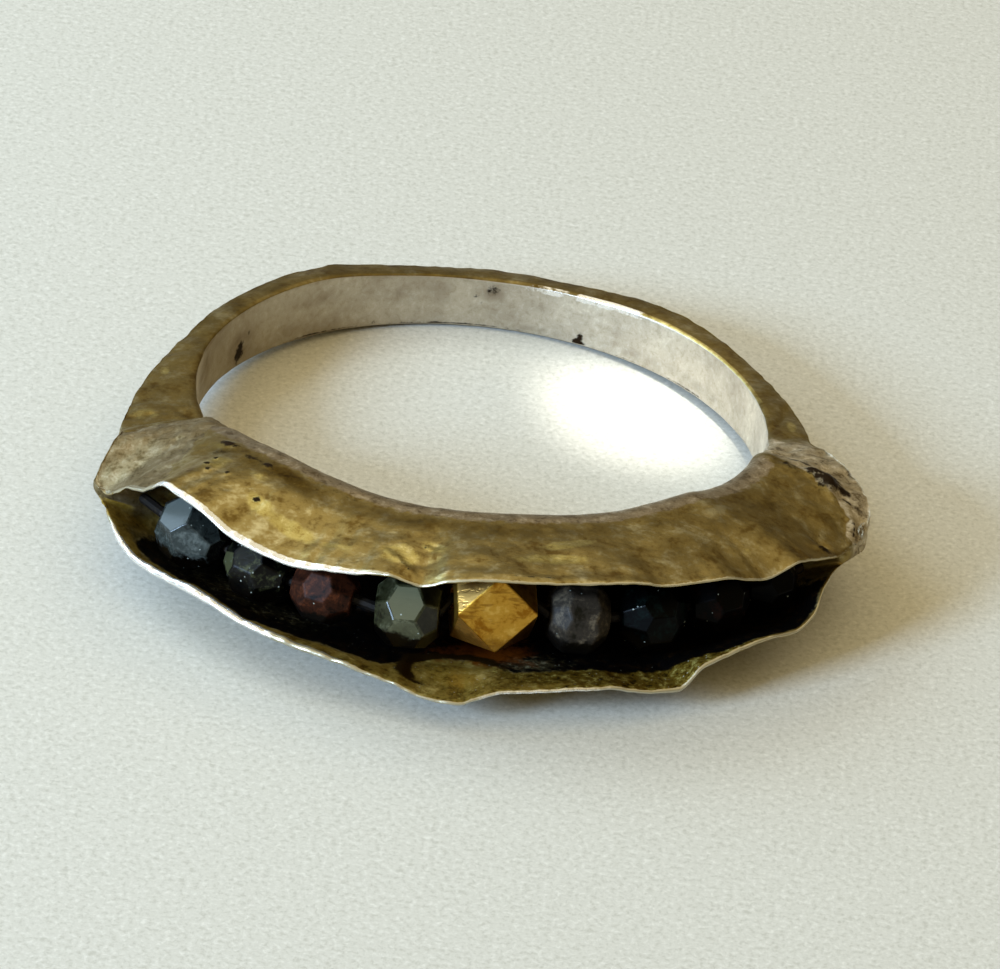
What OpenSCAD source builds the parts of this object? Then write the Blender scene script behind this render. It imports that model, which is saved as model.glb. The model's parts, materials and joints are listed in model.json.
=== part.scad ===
// Hand-made silver ring, lying on its side. Along the front a crumpled trough of thin sheet
// holds nine beads on a hidden wire: eight cut stones and one of gold.
// Lengths are millimetres. Angles run round the finger hole: 0 at the front, positive to the right.
// Heights are measured from the middle of the band, before the ring is laid down.

/* [Ring] */
// Radius of the finger hole
finger_r = 8.7; // [8.6:0.1:9.2]
// Height of the band, behind the finger
band_h = 1.86; // [1.7:0.02:2]
// Depth of the trough's underside below the middle of the band, at its two feet
keel = 2.1; // [2:0.02:2.2]

/* [Trough] */
// Thickness of the sheet round the trough
sheet_t = 0.32; // [0.26:0.02:0.38]
// Thickness of the sheet at its worn lips
lip_t = 0.22; // [0.18:0.02:0.26]
// Thickness of the metal between the finger hole and the trough
floor_t = 0.55; // [0.45:0.05:0.6]
// How fast the sheet falls from the crest to its lip: 1 is straight, more is rounder
sheet_round = 1.7; // [1.7:0.1:2.2]

/* [Bead row] */
// Radius of the wire that the beads are threaded on
wire_r = 0.16; // [0.1:0.01:0.18]
// Radius of the hole drilled through each bead
bead_hole_r = 0.32; // [0.31:0.01:0.36]

/* [Hidden] */
// Silver left inside the finger hole's radius until the hole is bored
bore_stock = 0.25;
// Metal added to the sheet where it meets the trough's floor
corner_fill = 0.16;
// Angle from the front to each foot that the trough rests on
foot_angle = 36;
// Distance from the finger hole's axis to each foot, and to the band's rear contact
foot_r = finger_r + 0.6;
rear_r = finger_r + 0.75;
// Radius along which places in the row are measured
row_r = finger_r + 3.1;
// Ends of the wire, just short of the trough's closed ends: place along the row, distance out,
// height
WIRE_ENDS = [[-11.1, 3.10, 0.10], [11.75, 3.10, 0.20]];
// Sides of the wire
WIRE_SIDES = 8;
// How far the crest stands out from the finger hole's wall, and how far its rounded edge drops:
// on a bare band, and more for each millimetre that the section reaches outward
CREST_OUT = [0.02, 0.14];
EDGE_DROP = [0.15, 0.13];
// How far the trough's floor and its filled ends bow
floor_bow = 0.05;
face_bow = 0.12;
// Thickest lip, as a share of the space between the two edges
lip_share = 0.3;
// A length well past every section and bead
beyond = 8;

// The body, a row for each change of form: angle, height of the crest, height of the underside,
// and how much of the trough is solid there, from 0 (hollow) to 1 (filled)
BODY = [
    [-180, 0.80, -band_h / 2, 1],
    [-160, 0.88, -band_h / 2, 1],
    [-140, 1.08, -band_h / 2, 1],
    [-108, 1.00, -band_h / 2, 1],
    [-80, 1.00, -0.98, 1],
    [-68, 1.02, -1.05, 1],
    [-64, 1.48, -1.40, 1],
    [-58, 1.80, -1.70, 1],
    [-53, 1.95, -1.86, 0.4],
    [-48, 2.08, -1.95, 0],
    [-foot_angle, 2.26, -keel, 0],
    [-12, 2.09, -keel + 0.02, 0],
    [6, 2.20, -keel + 0.02, 0],
    [28, 2.16, -keel + 0.02, 0],
    [foot_angle, 2.23, -keel, 0],
    [44, 2.25, -2.01, 0],
    [51, 2.06, -1.92, 0],
    [57, 1.95, -1.80, 0.45],
    [62, 1.92, -1.70, 1],
    [70, 1.98, -1.55, 1],
    [80, 1.50, -1.20, 1],
    [92, 1.02, -band_h / 2, 1],
    [120, 0.91, -band_h / 2, 1],
    [142, 0.94, -band_h / 2, 1],
    [160, 0.84, -band_h / 2, 1],
    [180, 0.80, -band_h / 2, 1]
];

// The upper edge, which is the trough's upper lip at the front: angle, reach outward from the
// finger hole's wall, height
UPPER_EDGE = [
    [-180, 0.98, 0.68],
    [-165, 0.82, 0.74],
    [-143, 0.96, 0.96],
    [-122, 0.82, 0.94],
    [-106, 0.86, 0.86],
    [-96, 1.08, 0.84],
    [-88, 1.42, 0.84],
    [-78, 1.97, 0.84],
    [-68, 2.72, 0.86],
    [-64, 3.05, 1.22],
    [-61, 3.62, 1.00],
    [-58, 4.28, 0.36],
    [-56, 4.20, 0.30],
    [-51, 4.10, 1.05],
    [-47.5, 4.10, 1.36],
    [-43, 4.10, 2.02],
    [-39, 4.10, 2.02],
    [-30, 4.10, 1.52],
    [-23, 4.10, 1.40],
    [-15, 4.10, 1.62],
    [-9, 4.12, 1.82],
    [-5, 4.05, 1.62],
    [-1, 4.15, 1.96],
    [5, 4.15, 2.14],
    [15, 4.10, 2.10],
    [22, 4.10, 2.06],
    [28, 4.10, 1.84],
    [36, 4.10, 1.74],
    [44, 4.10, 1.32],
    [49, 4.10, 1.46],
    [54, 4.10, 1.22],
    [60, 4.08, 0.84],
    [66, 4.12, 0.80],
    [70, 3.92, 1.00],
    [75, 3.34, 1.22],
    [80, 2.62, 1.32],
    [85, 1.90, 1.25],
    [91, 1.36, 0.90],
    [103, 1.08, 0.82],
    [120, 0.80, 0.82],
    [144, 1.05, 0.84],
    [168, 0.86, 0.72],
    [180, 0.98, 0.68]
];

// The lower edge, which is the trough's lower lip at the front: angle, reach, height
LOWER_EDGE = [
    [-180, 0.98, -0.78],
    [-143, 0.96, -0.80],
    [-106, 0.86, -0.80],
    [-88, 1.42, -0.80],
    [-68, 2.72, -0.82],
    [-63, 3.22, -0.70],
    [-58, 4.10, -0.12],
    [-55, 4.22, -0.14],
    [-52, 4.46, -0.22],
    [-49, 4.54, -0.54],
    [-45, 4.60, -0.75],
    [-34, 4.60, -0.68],
    [-27, 4.60, -0.96],
    [-15, 4.60, -1.17],
    [-7, 4.65, -1.44],
    [-2, 4.80, -1.68],
    [1.5, 4.85, -1.72],
    [4, 4.70, -1.58],
    [7, 4.60, -1.36],
    [20, 4.60, -1.20],
    [26, 4.60, -1.48],
    [30, 4.60, -1.54],
    [33.5, 4.55, -0.92],
    [43, 4.50, -0.60],
    [48.5, 4.50, -0.74],
    [52, 4.45, -0.50],
    [55, 4.25, 0.10],
    [59, 4.05, 0.34],
    [63, 3.95, 0.22],
    [70, 3.60, -0.40],
    [80, 2.40, -0.78],
    [91, 1.30, -0.80],
    [103, 1.08, -0.78],
    [120, 0.80, -0.78],
    [144, 1.05, -0.80],
    [180, 0.98, -0.78]
];

// The beads, from left to right: name, place along the row from the front, distance out from the
// finger hole's wall, height, length, width across flats, facets round it, tilt and distance of
// the shoulder facets, spin on the wire, turn of the facets against the drilled hole, colour
BEADS = [
    ["blue_bead", -8.75, 2.90, 0.12, 2.50, 2.10, 7, 40, 1.04, -6, -18, "#6f7f88"],
    ["dark_bead", -6.16, 2.82, -0.01, 2.05, 2.00, 8, 42, 1.02, 5, 0, "#1f2226"],
    ["red_bead", -3.95, 2.85, 0.00, 1.85, 1.85, 8, 40, 1.03, 12, 0, "#5b3f3a"],
    ["green_bead", -1.40, 2.62, -0.08, 1.85, 2.15, 7, 42, 1.02, 0, -5, "#5d6552"],
    ["gold_bead", 1.10, 2.10, 0.30, 2.33, 2.33, 4, 35.26, 1.1547, -7, 3, "#c9962e"],
    ["grey_bead", 3.78, 2.40, 0.00, 1.75, 2.10, 9, 44, 1.00, 8, 0, "#686c74"],
    ["black_bead_1", 6.05, 2.62, 0.00, 2.05, 2.05, 8, 42, 1.02, 0, 0, "#0c0c0d"],
    ["black_bead_2", 8.33, 2.68, 0.04, 1.95, 1.95, 8, 40, 1.03, 11, 0, "#0c0c0d"],
    ["black_bead_3", 10.38, 2.86, 0.14, 1.75, 1.70, 8, 42, 1.02, 17, 0, "#0c0c0d"]
];

// Sections are closer together round the trough than round the band
TROUGH_ANGLES = [for (a = [-75 : 2.5 : 92.5]) a];
BAND_ANGLES = [for (a = [98 : 5.5 : 280]) a > 180 ? a - 360 : a];
SECTION_ANGLES = concat(TROUGH_ANGLES, BAND_ANGLES);
// Places across the sheet where the section has a point: 0 at the crest, 1 at the lip
ACROSS = [1, 0.84, 0.62, 0.4, 0.2, 0];
// Places across the hollow, from its floor to the lip
HOLLOW_ACROSS = [1, 0.72, 0.4, 0.12, 0.02];
// Turns of the rounded edge between the crest and the finger hole
EDGE_TURNS = [60, 30, 0];

function mix(a, b, t) = a + (b - a) * t;

// Row of the table at or just below angle a
function row_below(table, a, i = 0) =
    i >= len(table) - 2 || a < table[i + 1][0] ? i : row_below(table, a, i + 1);

// Rise of one column between row i and the next
function rise(table, column, i) =
    (table[i + 1][column] - table[i][column]) / (table[i + 1][0] - table[i][0]);

// Slope at row i: level at a high or low point, so that the curve never overshoots its rows
function slope(table, column, i) =
    let (last = len(table) - 1)
    let (before = rise(table, column, i == 0 ? last - 1 : i - 1))
    let (after = rise(table, column, i == last ? 0 : i))
    before * after <= 0 ? 0 : 2 * before * after / (before + after);

// Smooth value of one column at angle a
function at(table, column, a) =
    let (i = row_below(table, a))
    let (span = table[i + 1][0] - table[i][0])
    let (t = (a - table[i][0]) / span)
    let (start = table[i][column])
    let (end = table[i + 1][column])
    let (start_slope = slope(table, column, i) * span)
    let (end_slope = slope(table, column, i + 1) * span)
    (2 * t ^ 3 - 3 * t ^ 2 + 1) * start + (t ^ 3 - 2 * t ^ 2 + t) * start_slope
    + (3 * t ^ 2 - 2 * t ^ 3) * end + (t ^ 3 - t ^ 2) * end_slope;

// One side of the sheet, from its lip in to its crest
function sheet_side(crest, edge) =
    [for (t = ACROSS) [mix(crest[0], edge[0], t), mix(crest[1], edge[1], t ^ sheet_round)]];

// The rounded edge from the crest down into the finger hole; side is 1 on top and -1 below
function round_edge(crest, side, drop) =
    [for (turn = EDGE_TURNS)
        [crest[0] - (crest[0] - finger_r + bore_stock) * cos(turn),
         crest[1] - side * drop * (1 - sin(turn))]];

// One side of the hollow, from the lip in to the floor
function hollow_side(crest, edge, side, t_lip) =
    [for (t = HOLLOW_ACROSS)
        [mix(finger_r + floor_t, edge[0], t),
         mix(crest[1], edge[1], t ^ sheet_round) - side * mix(sheet_t + corner_fill * (1 - t) ^ 3, t_lip, t ^ 3)]];

function reversed(list) = [for (i = [len(list) - 1 : -1 : 0]) list[i]];

// The whole section at angle a, as [distance from the axis, height] points
function section(a) =
    let (upper = [finger_r + at(UPPER_EDGE, 1, a), at(UPPER_EDGE, 2, a)])
    let (lower = [finger_r + at(LOWER_EDGE, 1, a), at(LOWER_EDGE, 2, a)])
    let (reach = upper[0] - finger_r)
    let (crest_r = finger_r + CREST_OUT[0] + CREST_OUT[1] * reach)
    let (drop = EDGE_DROP[0] + EDGE_DROP[1] * reach)
    let (top = [crest_r, at(BODY, 1, a)])
    let (bottom = [crest_r, at(BODY, 2, a)])
    let (solid = at(BODY, 3, a))
    let (t_lip = min(lip_t, lip_share * (upper[1] - lower[1])))
    let (hollow = concat(hollow_side(bottom, lower, -1, t_lip),
                         [[finger_r + floor_t - floor_bow, (top[1] + bottom[1]) / 2]],
                         reversed(hollow_side(top, upper, 1, t_lip))))
    let (last = len(hollow) - 1)
    let (face = [for (i = [0 : last])
        [mix(hollow[0][0], hollow[last][0], i / last) + face_bow * sin(180 * i / last),
         mix(hollow[0][1], hollow[last][1], i / last)]])
    concat(sheet_side(top, upper),
           round_edge(top, 1, drop),
           reversed(round_edge(bottom, -1, drop)),
           reversed(sheet_side(bottom, lower)),
           [for (i = [0 : last]) mix(hollow[i], face[i], solid)]);

// A point of a section, in the ring's own space
function placed(point, a) = [point[0] * sin(a), -point[0] * cos(a), point[1]];

BODY_POINTS = [for (a = SECTION_ANGLES) for (p = section(a)) placed(p, a)];
SECTION_SIZE = len(section(0));
SECTION_COUNT = len(SECTION_ANGLES);

// Two triangles between each point of a section and the next section
BODY_FACES = [for (i = [0 : SECTION_COUNT - 1], j = [0 : SECTION_SIZE - 1], half = [0, 1])
    let (here = i * SECTION_SIZE)
    let (there = (i + 1) % SECTION_COUNT * SECTION_SIZE)
    let (k = (j + 1) % SECTION_SIZE)
    half == 0 ? [here + j, there + k, there + j] : [here + j, here + k, there + k]];

// The ring leans forward off its band onto the trough's feet when it is laid down
lean = atan((keel - band_h / 2) / (rear_r + foot_r * cos(foot_angle)));
LAID_Y = [for (p = BODY_POINTS) p[1] * cos(lean) + p[2] * sin(lean)];
LAID_Z = [for (p = BODY_POINTS) p[2] * cos(lean) - p[1] * sin(lean)];
BODY_X = [for (p = BODY_POINTS) p[0]];
// Middle of the laid ring from left to right and from front to back, and its lowest height
mid_x = (min(BODY_X) + max(BODY_X)) / 2;
mid_y = (min(LAID_Y) + max(LAID_Y)) / 2;
low_z = min(LAID_Z);

// Lays the ring on its side, with the middle of its footprint at the origin
module laid() {
    translate([-mid_x, -mid_y, -low_z])
        rotate([-lean, 0, 0])
            children();
}

// The silver: band, shoulders and trough in one piece, with the finger hole bored through
module ring_body() {
    color("#8d8163")
        laid()
            difference() {
                polyhedron(points = BODY_POINTS, faces = BODY_FACES);
                cylinder(h = beyond, r = finger_r, center = true, $fn = 180);
            }
}

// A place on the row, from [place along it, distance out, height]
function on_row(place) = placed([finger_r + place[1], place[2]], place[0] / row_r * 180 / PI);

// A direction as [climb, heading], in degrees
function direction(run) = [atan2(run[2], norm([run[0], run[1]])), atan2(run[1], run[0])];

last_bead = len(BEADS) - 1;
// The middle of each bead, and the direction of its hole, which follows its neighbours
ROW = [for (b = BEADS) on_row([b[1], b[2], b[3]])];
ALONG = [for (i = [0 : last_bead]) ROW[min(i + 1, last_bead)] - ROW[max(i - 1, 0)]];

// The wire runs straight through each bead and bends between them
WIRE_PATH = concat(
    [on_row(WIRE_ENDS[0])],
    [for (i = [0 : last_bead], end = [-1, 1])
        ROW[i] + end * BEADS[i][4] / 2 * ALONG[i] / norm(ALONG[i])],
    [on_row(WIRE_ENDS[1])]);

// A ring of points round the wire at one place, square to direction d
function wire_ring(centre, d) =
    [for (k = [0 : WIRE_SIDES - 1])
        let (turn = 360 * k / WIRE_SIDES)
        centre
        + wire_r * cos(turn) * [-sin(d[1]), cos(d[1]), 0]
        + wire_r * sin(turn) * [-sin(d[0]) * cos(d[1]), -sin(d[0]) * sin(d[1]), cos(d[0])]];

WIRE_POINTS = [for (i = [0 : len(WIRE_PATH) - 1])
    let (before = WIRE_PATH[max(i - 1, 0)])
    let (after = WIRE_PATH[min(i + 1, len(WIRE_PATH) - 1)])
    each wire_ring(WIRE_PATH[i], direction(after - before))];
WIRE_TURNS = [for (k = [0 : WIRE_SIDES - 1]) k];
WIRE_FACES = concat(
    [reversed(WIRE_TURNS)],
    [for (i = [0 : len(WIRE_PATH) - 2], k = WIRE_TURNS, half = [0, 1])
        let (here = i * WIRE_SIDES)
        let (there = here + WIRE_SIDES)
        let (next = (k + 1) % WIRE_SIDES)
        half == 0 ? [here + k, here + next, there + next] : [here + k, there + next, there + k]],
    [[for (k = WIRE_TURNS) (len(WIRE_PATH) - 1) * WIRE_SIDES + k]]);

// The wire through the beads
module bead_wire() {
    color("#6b5f4a")
        laid()
            polyhedron(points = WIRE_POINTS, faces = WIRE_FACES);
}

// Everything on the inner side of one facet: tilt is towards the end of the bead
module inside_facet(tilt, turn, distance) {
    rotate([turn, 0, 0])
        rotate([0, tilt, 0])
            translate([-beyond / 2, -beyond / 2, distance - beyond])
                cube(beyond);
}

// The facets of a bead as [tilt, turn, distance]: a middle band, a band on each shoulder half a
// step round from it, and a flat table at each drilled end
function facets(sides, length, half, tilt, shoulder, spin) = concat(
    [for (k = [0 : sides - 1]) [0, 360 * k / sides + spin, half]],
    [for (end = [-1, 1], k = [0 : sides - 1])
        [end * tilt, 360 * (k + 0.5) / sides + spin, half * shoulder]],
    [[90, 0, length / 2], [-90, 0, length / 2]]
);

// One drilled and faceted bead in its place on the wire
module bead(i) {
    b = BEADS[i];
    d = direction(ALONG[i]);
    color(b[11])
        laid()
            translate(ROW[i])
                rotate([0, -d[0], d[1]])
                    difference() {
                        rotate([0, 0, b[10]])
                            intersection_for(f = facets(b[6], b[4], b[5] / 2, b[7], b[8], b[9]))
                                inside_facet(f[0], f[1], f[2]);
                        rotate([0, 90, 0])
                            cylinder(h = beyond, r = bead_hole_r, center = true, $fn = 32);
                    }
}

ring_body();
bead_wire();
for (i = [0 : last_bead])
    bead(i);
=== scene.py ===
# %% [markdown]
# A hand-made silver ring with a row of drilled stones.
# The ring lies on its side. Along the front its sheet of silver opens into a crumpled trough,
# and nine small beads are strung in it on a wire. The construction model already holds every
# piece at its real size. This lesson dresses it: the sheet is swept again with many more points,
# so that dents, folds and worn lips can be modelled, the beads get softened facets, and every
# surface gets a finish made of nodes.
# %% Load the fixed frame
import json
import math

import bmesh
import bpy
import numpy as np
from mathutils import Matrix, Vector, noise


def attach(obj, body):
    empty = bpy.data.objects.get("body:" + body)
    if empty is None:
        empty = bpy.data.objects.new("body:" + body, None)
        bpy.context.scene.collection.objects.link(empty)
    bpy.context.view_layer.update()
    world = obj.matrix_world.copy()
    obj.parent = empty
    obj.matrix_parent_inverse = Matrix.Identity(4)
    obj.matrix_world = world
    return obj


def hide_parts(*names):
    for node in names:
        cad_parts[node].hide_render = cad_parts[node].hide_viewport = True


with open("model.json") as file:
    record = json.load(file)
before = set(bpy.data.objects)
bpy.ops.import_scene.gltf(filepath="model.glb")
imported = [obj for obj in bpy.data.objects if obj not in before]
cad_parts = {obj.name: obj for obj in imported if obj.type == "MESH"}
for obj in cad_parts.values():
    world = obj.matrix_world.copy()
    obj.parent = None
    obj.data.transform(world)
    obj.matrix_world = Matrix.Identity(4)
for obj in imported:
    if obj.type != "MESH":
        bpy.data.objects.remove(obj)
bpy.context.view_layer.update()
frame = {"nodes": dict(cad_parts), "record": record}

# %% [markdown]
# Everything is modelled in millimetres round the middle of the finger hole and then laid down.
# The record states the finger hole as a mount, so its place and its axis tell how the ring lies.
# Reading them from the record, rather than typing them again, keeps the two models together.
# %% From the ring's own millimetres to the frame
MM = 0.001
finger_hole = frame["record"]["mounts"][0]
hole_centre = np.array(finger_hole["pos_m"])
lean = math.atan2(finger_hole["axis"][1], finger_hole["axis"][2])


def turned(points):
    """Directions of the ring's own space, as they point once the ring is laid down."""
    points = np.asarray(points, float)
    y = points[..., 1] * math.cos(lean) + points[..., 2] * math.sin(lean)
    z = points[..., 2] * math.cos(lean) - points[..., 1] * math.sin(lean)
    return np.stack([points[..., 0], y, z], axis=-1)


def laid(points):
    """Points of the ring's own space, in millimetres, as metres in the frame."""
    return turned(points) * MM + hole_centre


print("the ring leans back by", round(math.degrees(lean), 2), "degrees")

# %% [markdown]
# The camera comes first, because it decides how much detail each surface needs. The photograph
# was taken from close by with a slight turn of the phone. The finger hole is a true circle, so
# its picture gives the camera's height, distance and turn.
# %% Camera
CAMERA_HEIGHT = math.radians(28.5)
CAMERA_TURN = math.radians(7.05)
CAMERA_DISTANCE = 170.0
PIXELS_PER_MM = 33.8
LOOKED_AT = np.array([0.82, -5.22, 1.07])
IMAGE_WIDTH = 1000
SENSOR = 36.0


def new_object(name, data):
    """An object, linked to the scene."""
    made = bpy.data.objects.new(name, data)
    bpy.context.scene.collection.objects.link(made)
    return made


back = np.array([0.0, -math.cos(CAMERA_HEIGHT), math.sin(CAMERA_HEIGHT)])
level_right = np.array([1.0, 0.0, 0.0])
level_up = np.cross(back, level_right)
right = level_right * math.cos(CAMERA_TURN) + level_up * math.sin(CAMERA_TURN)
up = level_up * math.cos(CAMERA_TURN) - level_right * math.sin(CAMERA_TURN)

camera = new_object("camera", bpy.data.cameras.new("camera"))
axes = [Vector(turned(axis)) for axis in (right, up, back)]
camera.matrix_world = (Matrix.Translation(Vector(laid(LOOKED_AT + back * CAMERA_DISTANCE)))
                       @ Matrix(axes).transposed().to_4x4())
camera.data.sensor_width = SENSOR
camera.data.lens = PIXELS_PER_MM * CAMERA_DISTANCE / IMAGE_WIDTH * SENSOR
camera.data.clip_start = 0.01
camera.data.clip_end = 10
bpy.context.scene.camera = camera
print("lens", round(camera.data.lens, 1), "mm")

# %% [markdown]
# The silver is one piece: band, shoulders and trough. A smith would forge it from sheet, and its
# form changes slowly from one cross-section to the next. A sweep through sections copies that.
# The tables below give the few places where the form changes, and a smooth curve joins them.
# %% Sizes and tables of the silver
FINGER_R = 8.7
BAND_H = 1.86
KEEL = 2.1
SHEET_T = 0.32
CORNER_FILL = 0.16
FLOOR_T = 0.55
FLOOR_BOW = 0.05
FACE_BOW = 0.12
SHEET_ROUND = 1.7
CREST_OUT = (0.02, 0.14)
EDGE_DROP = (0.01, 0.085)

# Angle round the ring, height of the crest, height of the underside, how far the trough is filled
BODY = [
    (-180, 0.80, -BAND_H / 2, 1), (-160, 0.88, -BAND_H / 2, 1), (-140, 1.08, -BAND_H / 2, 1),
    (-108, 1.00, -BAND_H / 2, 1), (-80, 1.00, -0.98, 1), (-68, 1.02, -1.05, 1),
    (-64, 1.48, -1.40, 1), (-58, 1.80, -1.70, 1), (-53, 1.95, -1.86, 0.4), (-48, 2.08, -1.95, 0),
    (-36, 2.26, -KEEL, 0), (-12, 2.09, -KEEL + 0.02, 0), (6, 2.20, -KEEL + 0.02, 0),
    (28, 2.16, -KEEL + 0.02, 0), (36, 2.23, -KEEL, 0), (44, 2.25, -2.01, 0), (51, 2.06, -1.92, 0),
    (57, 1.95, -1.80, 0.45), (62, 1.92, -1.70, 1), (70, 1.98, -1.55, 1), (80, 1.50, -1.20, 1),
    (92, 1.02, -BAND_H / 2, 1), (120, 0.91, -BAND_H / 2, 1), (142, 0.94, -BAND_H / 2, 1),
    (160, 0.84, -BAND_H / 2, 1), (180, 0.80, -BAND_H / 2, 1),
]
# Angle, reach outward from the finger hole's wall, height
UPPER_EDGE = [
    (-180, 0.98, 0.68), (-165, 0.82, 0.74), (-143, 0.96, 0.96), (-122, 0.82, 0.94),
    (-106, 0.86, 0.86), (-96, 1.08, 0.84), (-88, 1.42, 0.84), (-78, 1.97, 0.84),
    (-68, 2.72, 0.86), (-64, 3.05, 1.22), (-61, 3.62, 1.00), (-58, 4.28, 0.36),
    (-56, 4.20, 0.30), (-51, 4.10, 1.05), (-47.5, 4.10, 1.36), (-43, 4.10, 2.02),
    (-39, 4.10, 2.02), (-30, 4.10, 1.52), (-23, 4.10, 1.40), (-15, 4.10, 1.62),
    (-9, 4.12, 1.82), (-5, 4.05, 1.62), (-1, 4.15, 1.96), (5, 4.15, 2.14), (15, 4.10, 2.10),
    (22, 4.10, 2.06), (28, 4.10, 1.84), (36, 4.10, 1.74), (44, 4.10, 1.32), (49, 4.10, 1.46),
    (54, 4.10, 1.22), (60, 4.08, 0.84), (66, 4.12, 0.80), (70, 3.92, 1.00), (75, 3.34, 1.22),
    (80, 2.62, 1.32), (85, 1.90, 1.25), (91, 1.36, 0.90), (103, 1.08, 0.82), (120, 0.80, 0.82),
    (144, 1.05, 0.84), (168, 0.86, 0.72), (180, 0.98, 0.68),
]
LOWER_EDGE = [
    (-180, 0.98, -0.78), (-143, 0.96, -0.80), (-106, 0.86, -0.80), (-88, 1.42, -0.80),
    (-68, 2.72, -0.82), (-63, 3.22, -0.70), (-58, 4.10, -0.12), (-55, 4.22, -0.14),
    (-52, 4.46, -0.22), (-49, 4.54, -0.54), (-45, 4.60, -0.75), (-34, 4.60, -0.68),
    (-27, 4.60, -0.96), (-15, 4.60, -1.17), (-7, 4.65, -1.44), (-2, 4.80, -1.68),
    (1.5, 4.85, -1.72), (4, 4.70, -1.58), (7, 4.60, -1.36), (20, 4.60, -1.20),
    (26, 4.60, -1.48), (30, 4.60, -1.54), (33.5, 4.55, -0.92), (43, 4.50, -0.60),
    (48.5, 4.50, -0.74), (52, 4.45, -0.50), (55, 4.25, 0.10), (59, 4.05, 0.34),
    (63, 3.95, 0.22), (70, 3.60, -0.40), (80, 2.40, -0.78), (91, 1.30, -0.80),
    (103, 1.08, -0.78), (120, 0.80, -0.78), (144, 1.05, -0.80), (180, 0.98, -0.78),
]
# Angle, thickness of the upper lip and of the lower lip, which are worn thin in places
LIP = [
    (-180, 0.22, 0.22), (-60, 0.16, 0.16), (-52, 0.13, 0.19), (-46, 0.14, 0.22), (-38, 0.22, 0.25),
    (-22, 0.21, 0.24), (-12, 0.13, 0.17), (-4, 0.11, 0.11), (6, 0.10, 0.15), (24, 0.10, 0.14),
    (32, 0.10, 0.20), (48, 0.10, 0.14), (60, 0.11, 0.12), (180, 0.22, 0.22),
]


def mix(a, b, t):
    return a + (b - a) * t


def curve(table, column, angles):
    """One column of a table at every angle, joined smoothly and level at each high and low row."""
    rows = np.array([row[0] for row in table], float)
    values = np.array([row[column] for row in table], float)
    rises = np.diff(values) / np.diff(rows)
    before = np.concatenate([rises[-1:], rises])
    after = np.concatenate([rises, rises[:1]])
    level = before * after <= 0
    slopes = np.where(level, 0, 2 * before * after / np.where(level, 1, before + after))
    i = np.clip(np.searchsorted(rows, angles, side="right") - 1, 0, len(rows) - 2)
    span = rows[i + 1] - rows[i]
    t = (angles - rows[i]) / span
    return ((2 * t**3 - 3 * t**2 + 1) * values[i] + (t**3 - 2 * t**2 + t) * slopes[i] * span
            + (3 * t**2 - 2 * t**3) * values[i + 1] + (t**3 - t**2) * slopes[i + 1] * span)


print(len(BODY), "body rows,", len(UPPER_EDGE) + len(LOWER_EDGE), "edge rows")

# %% [markdown]
# One closed section runs over the upper sheet, down the finger hole, out along the lower sheet,
# round its lip, back through the hollow and out again to the upper lip. Each point also keeps the
# zone that it belongs to, so that later steps can dent, roughen or colour one zone alone.
# %% Points of every section
UPPER, TOP_EDGE, BORE, LOW_EDGE, LOWER, LOW_LIP, LOW_HOLLOW, FLOOR, TOP_HOLLOW, TOP_LIP = range(10)
TROUGH_STEP = 0.36
BAND_STEP = 1.35
TROUGH_ENDS = (-76, 94)
SHEET_STEPS = 34
LOWER_STEPS = 26
EDGE_STEPS = 7
BORE_STEPS = 18
HOLLOW_STEPS = 22
FLOOR_STEPS = 6
LIP_STEPS = 4
LIP_BULGE = 0.45
LIP_LIMIT = 0.3
EDGE_START, EDGE_END = 8, 80
HOLLOW_START = 0.02
RIPPLE_OUT = 0.6
# Height, length in degrees and seed of the waves along each lip: first those of a calm lip,
# then the short ones that are added where it is torn
UPPER_WAVES = [[(0.035, 5, 3.1), (0.018, 1.7, 7.4)], [(0.030, 1.4, 21.3), (0.010, 0.9, 44.7)]]
LOWER_WAVES = [[(0.035, 5, 11.7), (0.026, 1.7, 15.2)], [(0.038, 1.4, 27.9), (0.014, 0.9, 52.1)]]

angles = np.concatenate([np.arange(TROUGH_ENDS[0], TROUGH_ENDS[1], TROUGH_STEP),
                         np.arange(TROUGH_ENDS[1], TROUGH_ENDS[0] + 360, BAND_STEP)])
angles = np.where(angles > 180, angles - 360, angles)


def waves(rows):
    """Smooth random lines along the ring, added up."""
    return sum(height * np.array([noise.noise(Vector((a / length, seed, 0))) for a in angles])
               for height, length, seed in rows)


def along(values, table):
    """A table of (place, amount) rows, read at each value with straight lines between the rows."""
    return np.interp(values, *np.transpose(table))


def rise(values, start, width):
    """0 up to start, and 1 from start + width on."""
    return np.clip((values - start) / width, 0, 1)


def fall(values, end, width):
    """1 up to end - width, and 0 from end on."""
    return np.clip((end - values) / width, 0, 1)


# How torn the two lips are along the ring
torn = along(angles, [(-60, 0.5), (-52, 1.0), (-10, 1.0), (0, 0.5)])
low_torn = along(angles, [(-58, 0.5), (-50, 1.0), (36, 1.0), (46, 0.4)])
ripple = waves(UPPER_WAVES[0]) + torn * waves(UPPER_WAVES[1])
low_ripple = waves(LOWER_WAVES[0]) + low_torn * waves(LOWER_WAVES[1])
upper = [FINGER_R + curve(UPPER_EDGE, 1, angles) + ripple * RIPPLE_OUT,
         curve(UPPER_EDGE, 2, angles) + ripple]
lower = [FINGER_R + curve(LOWER_EDGE, 1, angles) + low_ripple * RIPPLE_OUT,
         curve(LOWER_EDGE, 2, angles) + low_ripple]
reach = upper[0] - FINGER_R
crest_r = FINGER_R + CREST_OUT[0] + CREST_OUT[1] * reach
drop = EDGE_DROP[0] + EDGE_DROP[1] * reach
top = curve(BODY, 1, angles)
bottom = curve(BODY, 2, angles)
filled = curve(BODY, 3, angles)
space = upper[1] - lower[1]
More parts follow.
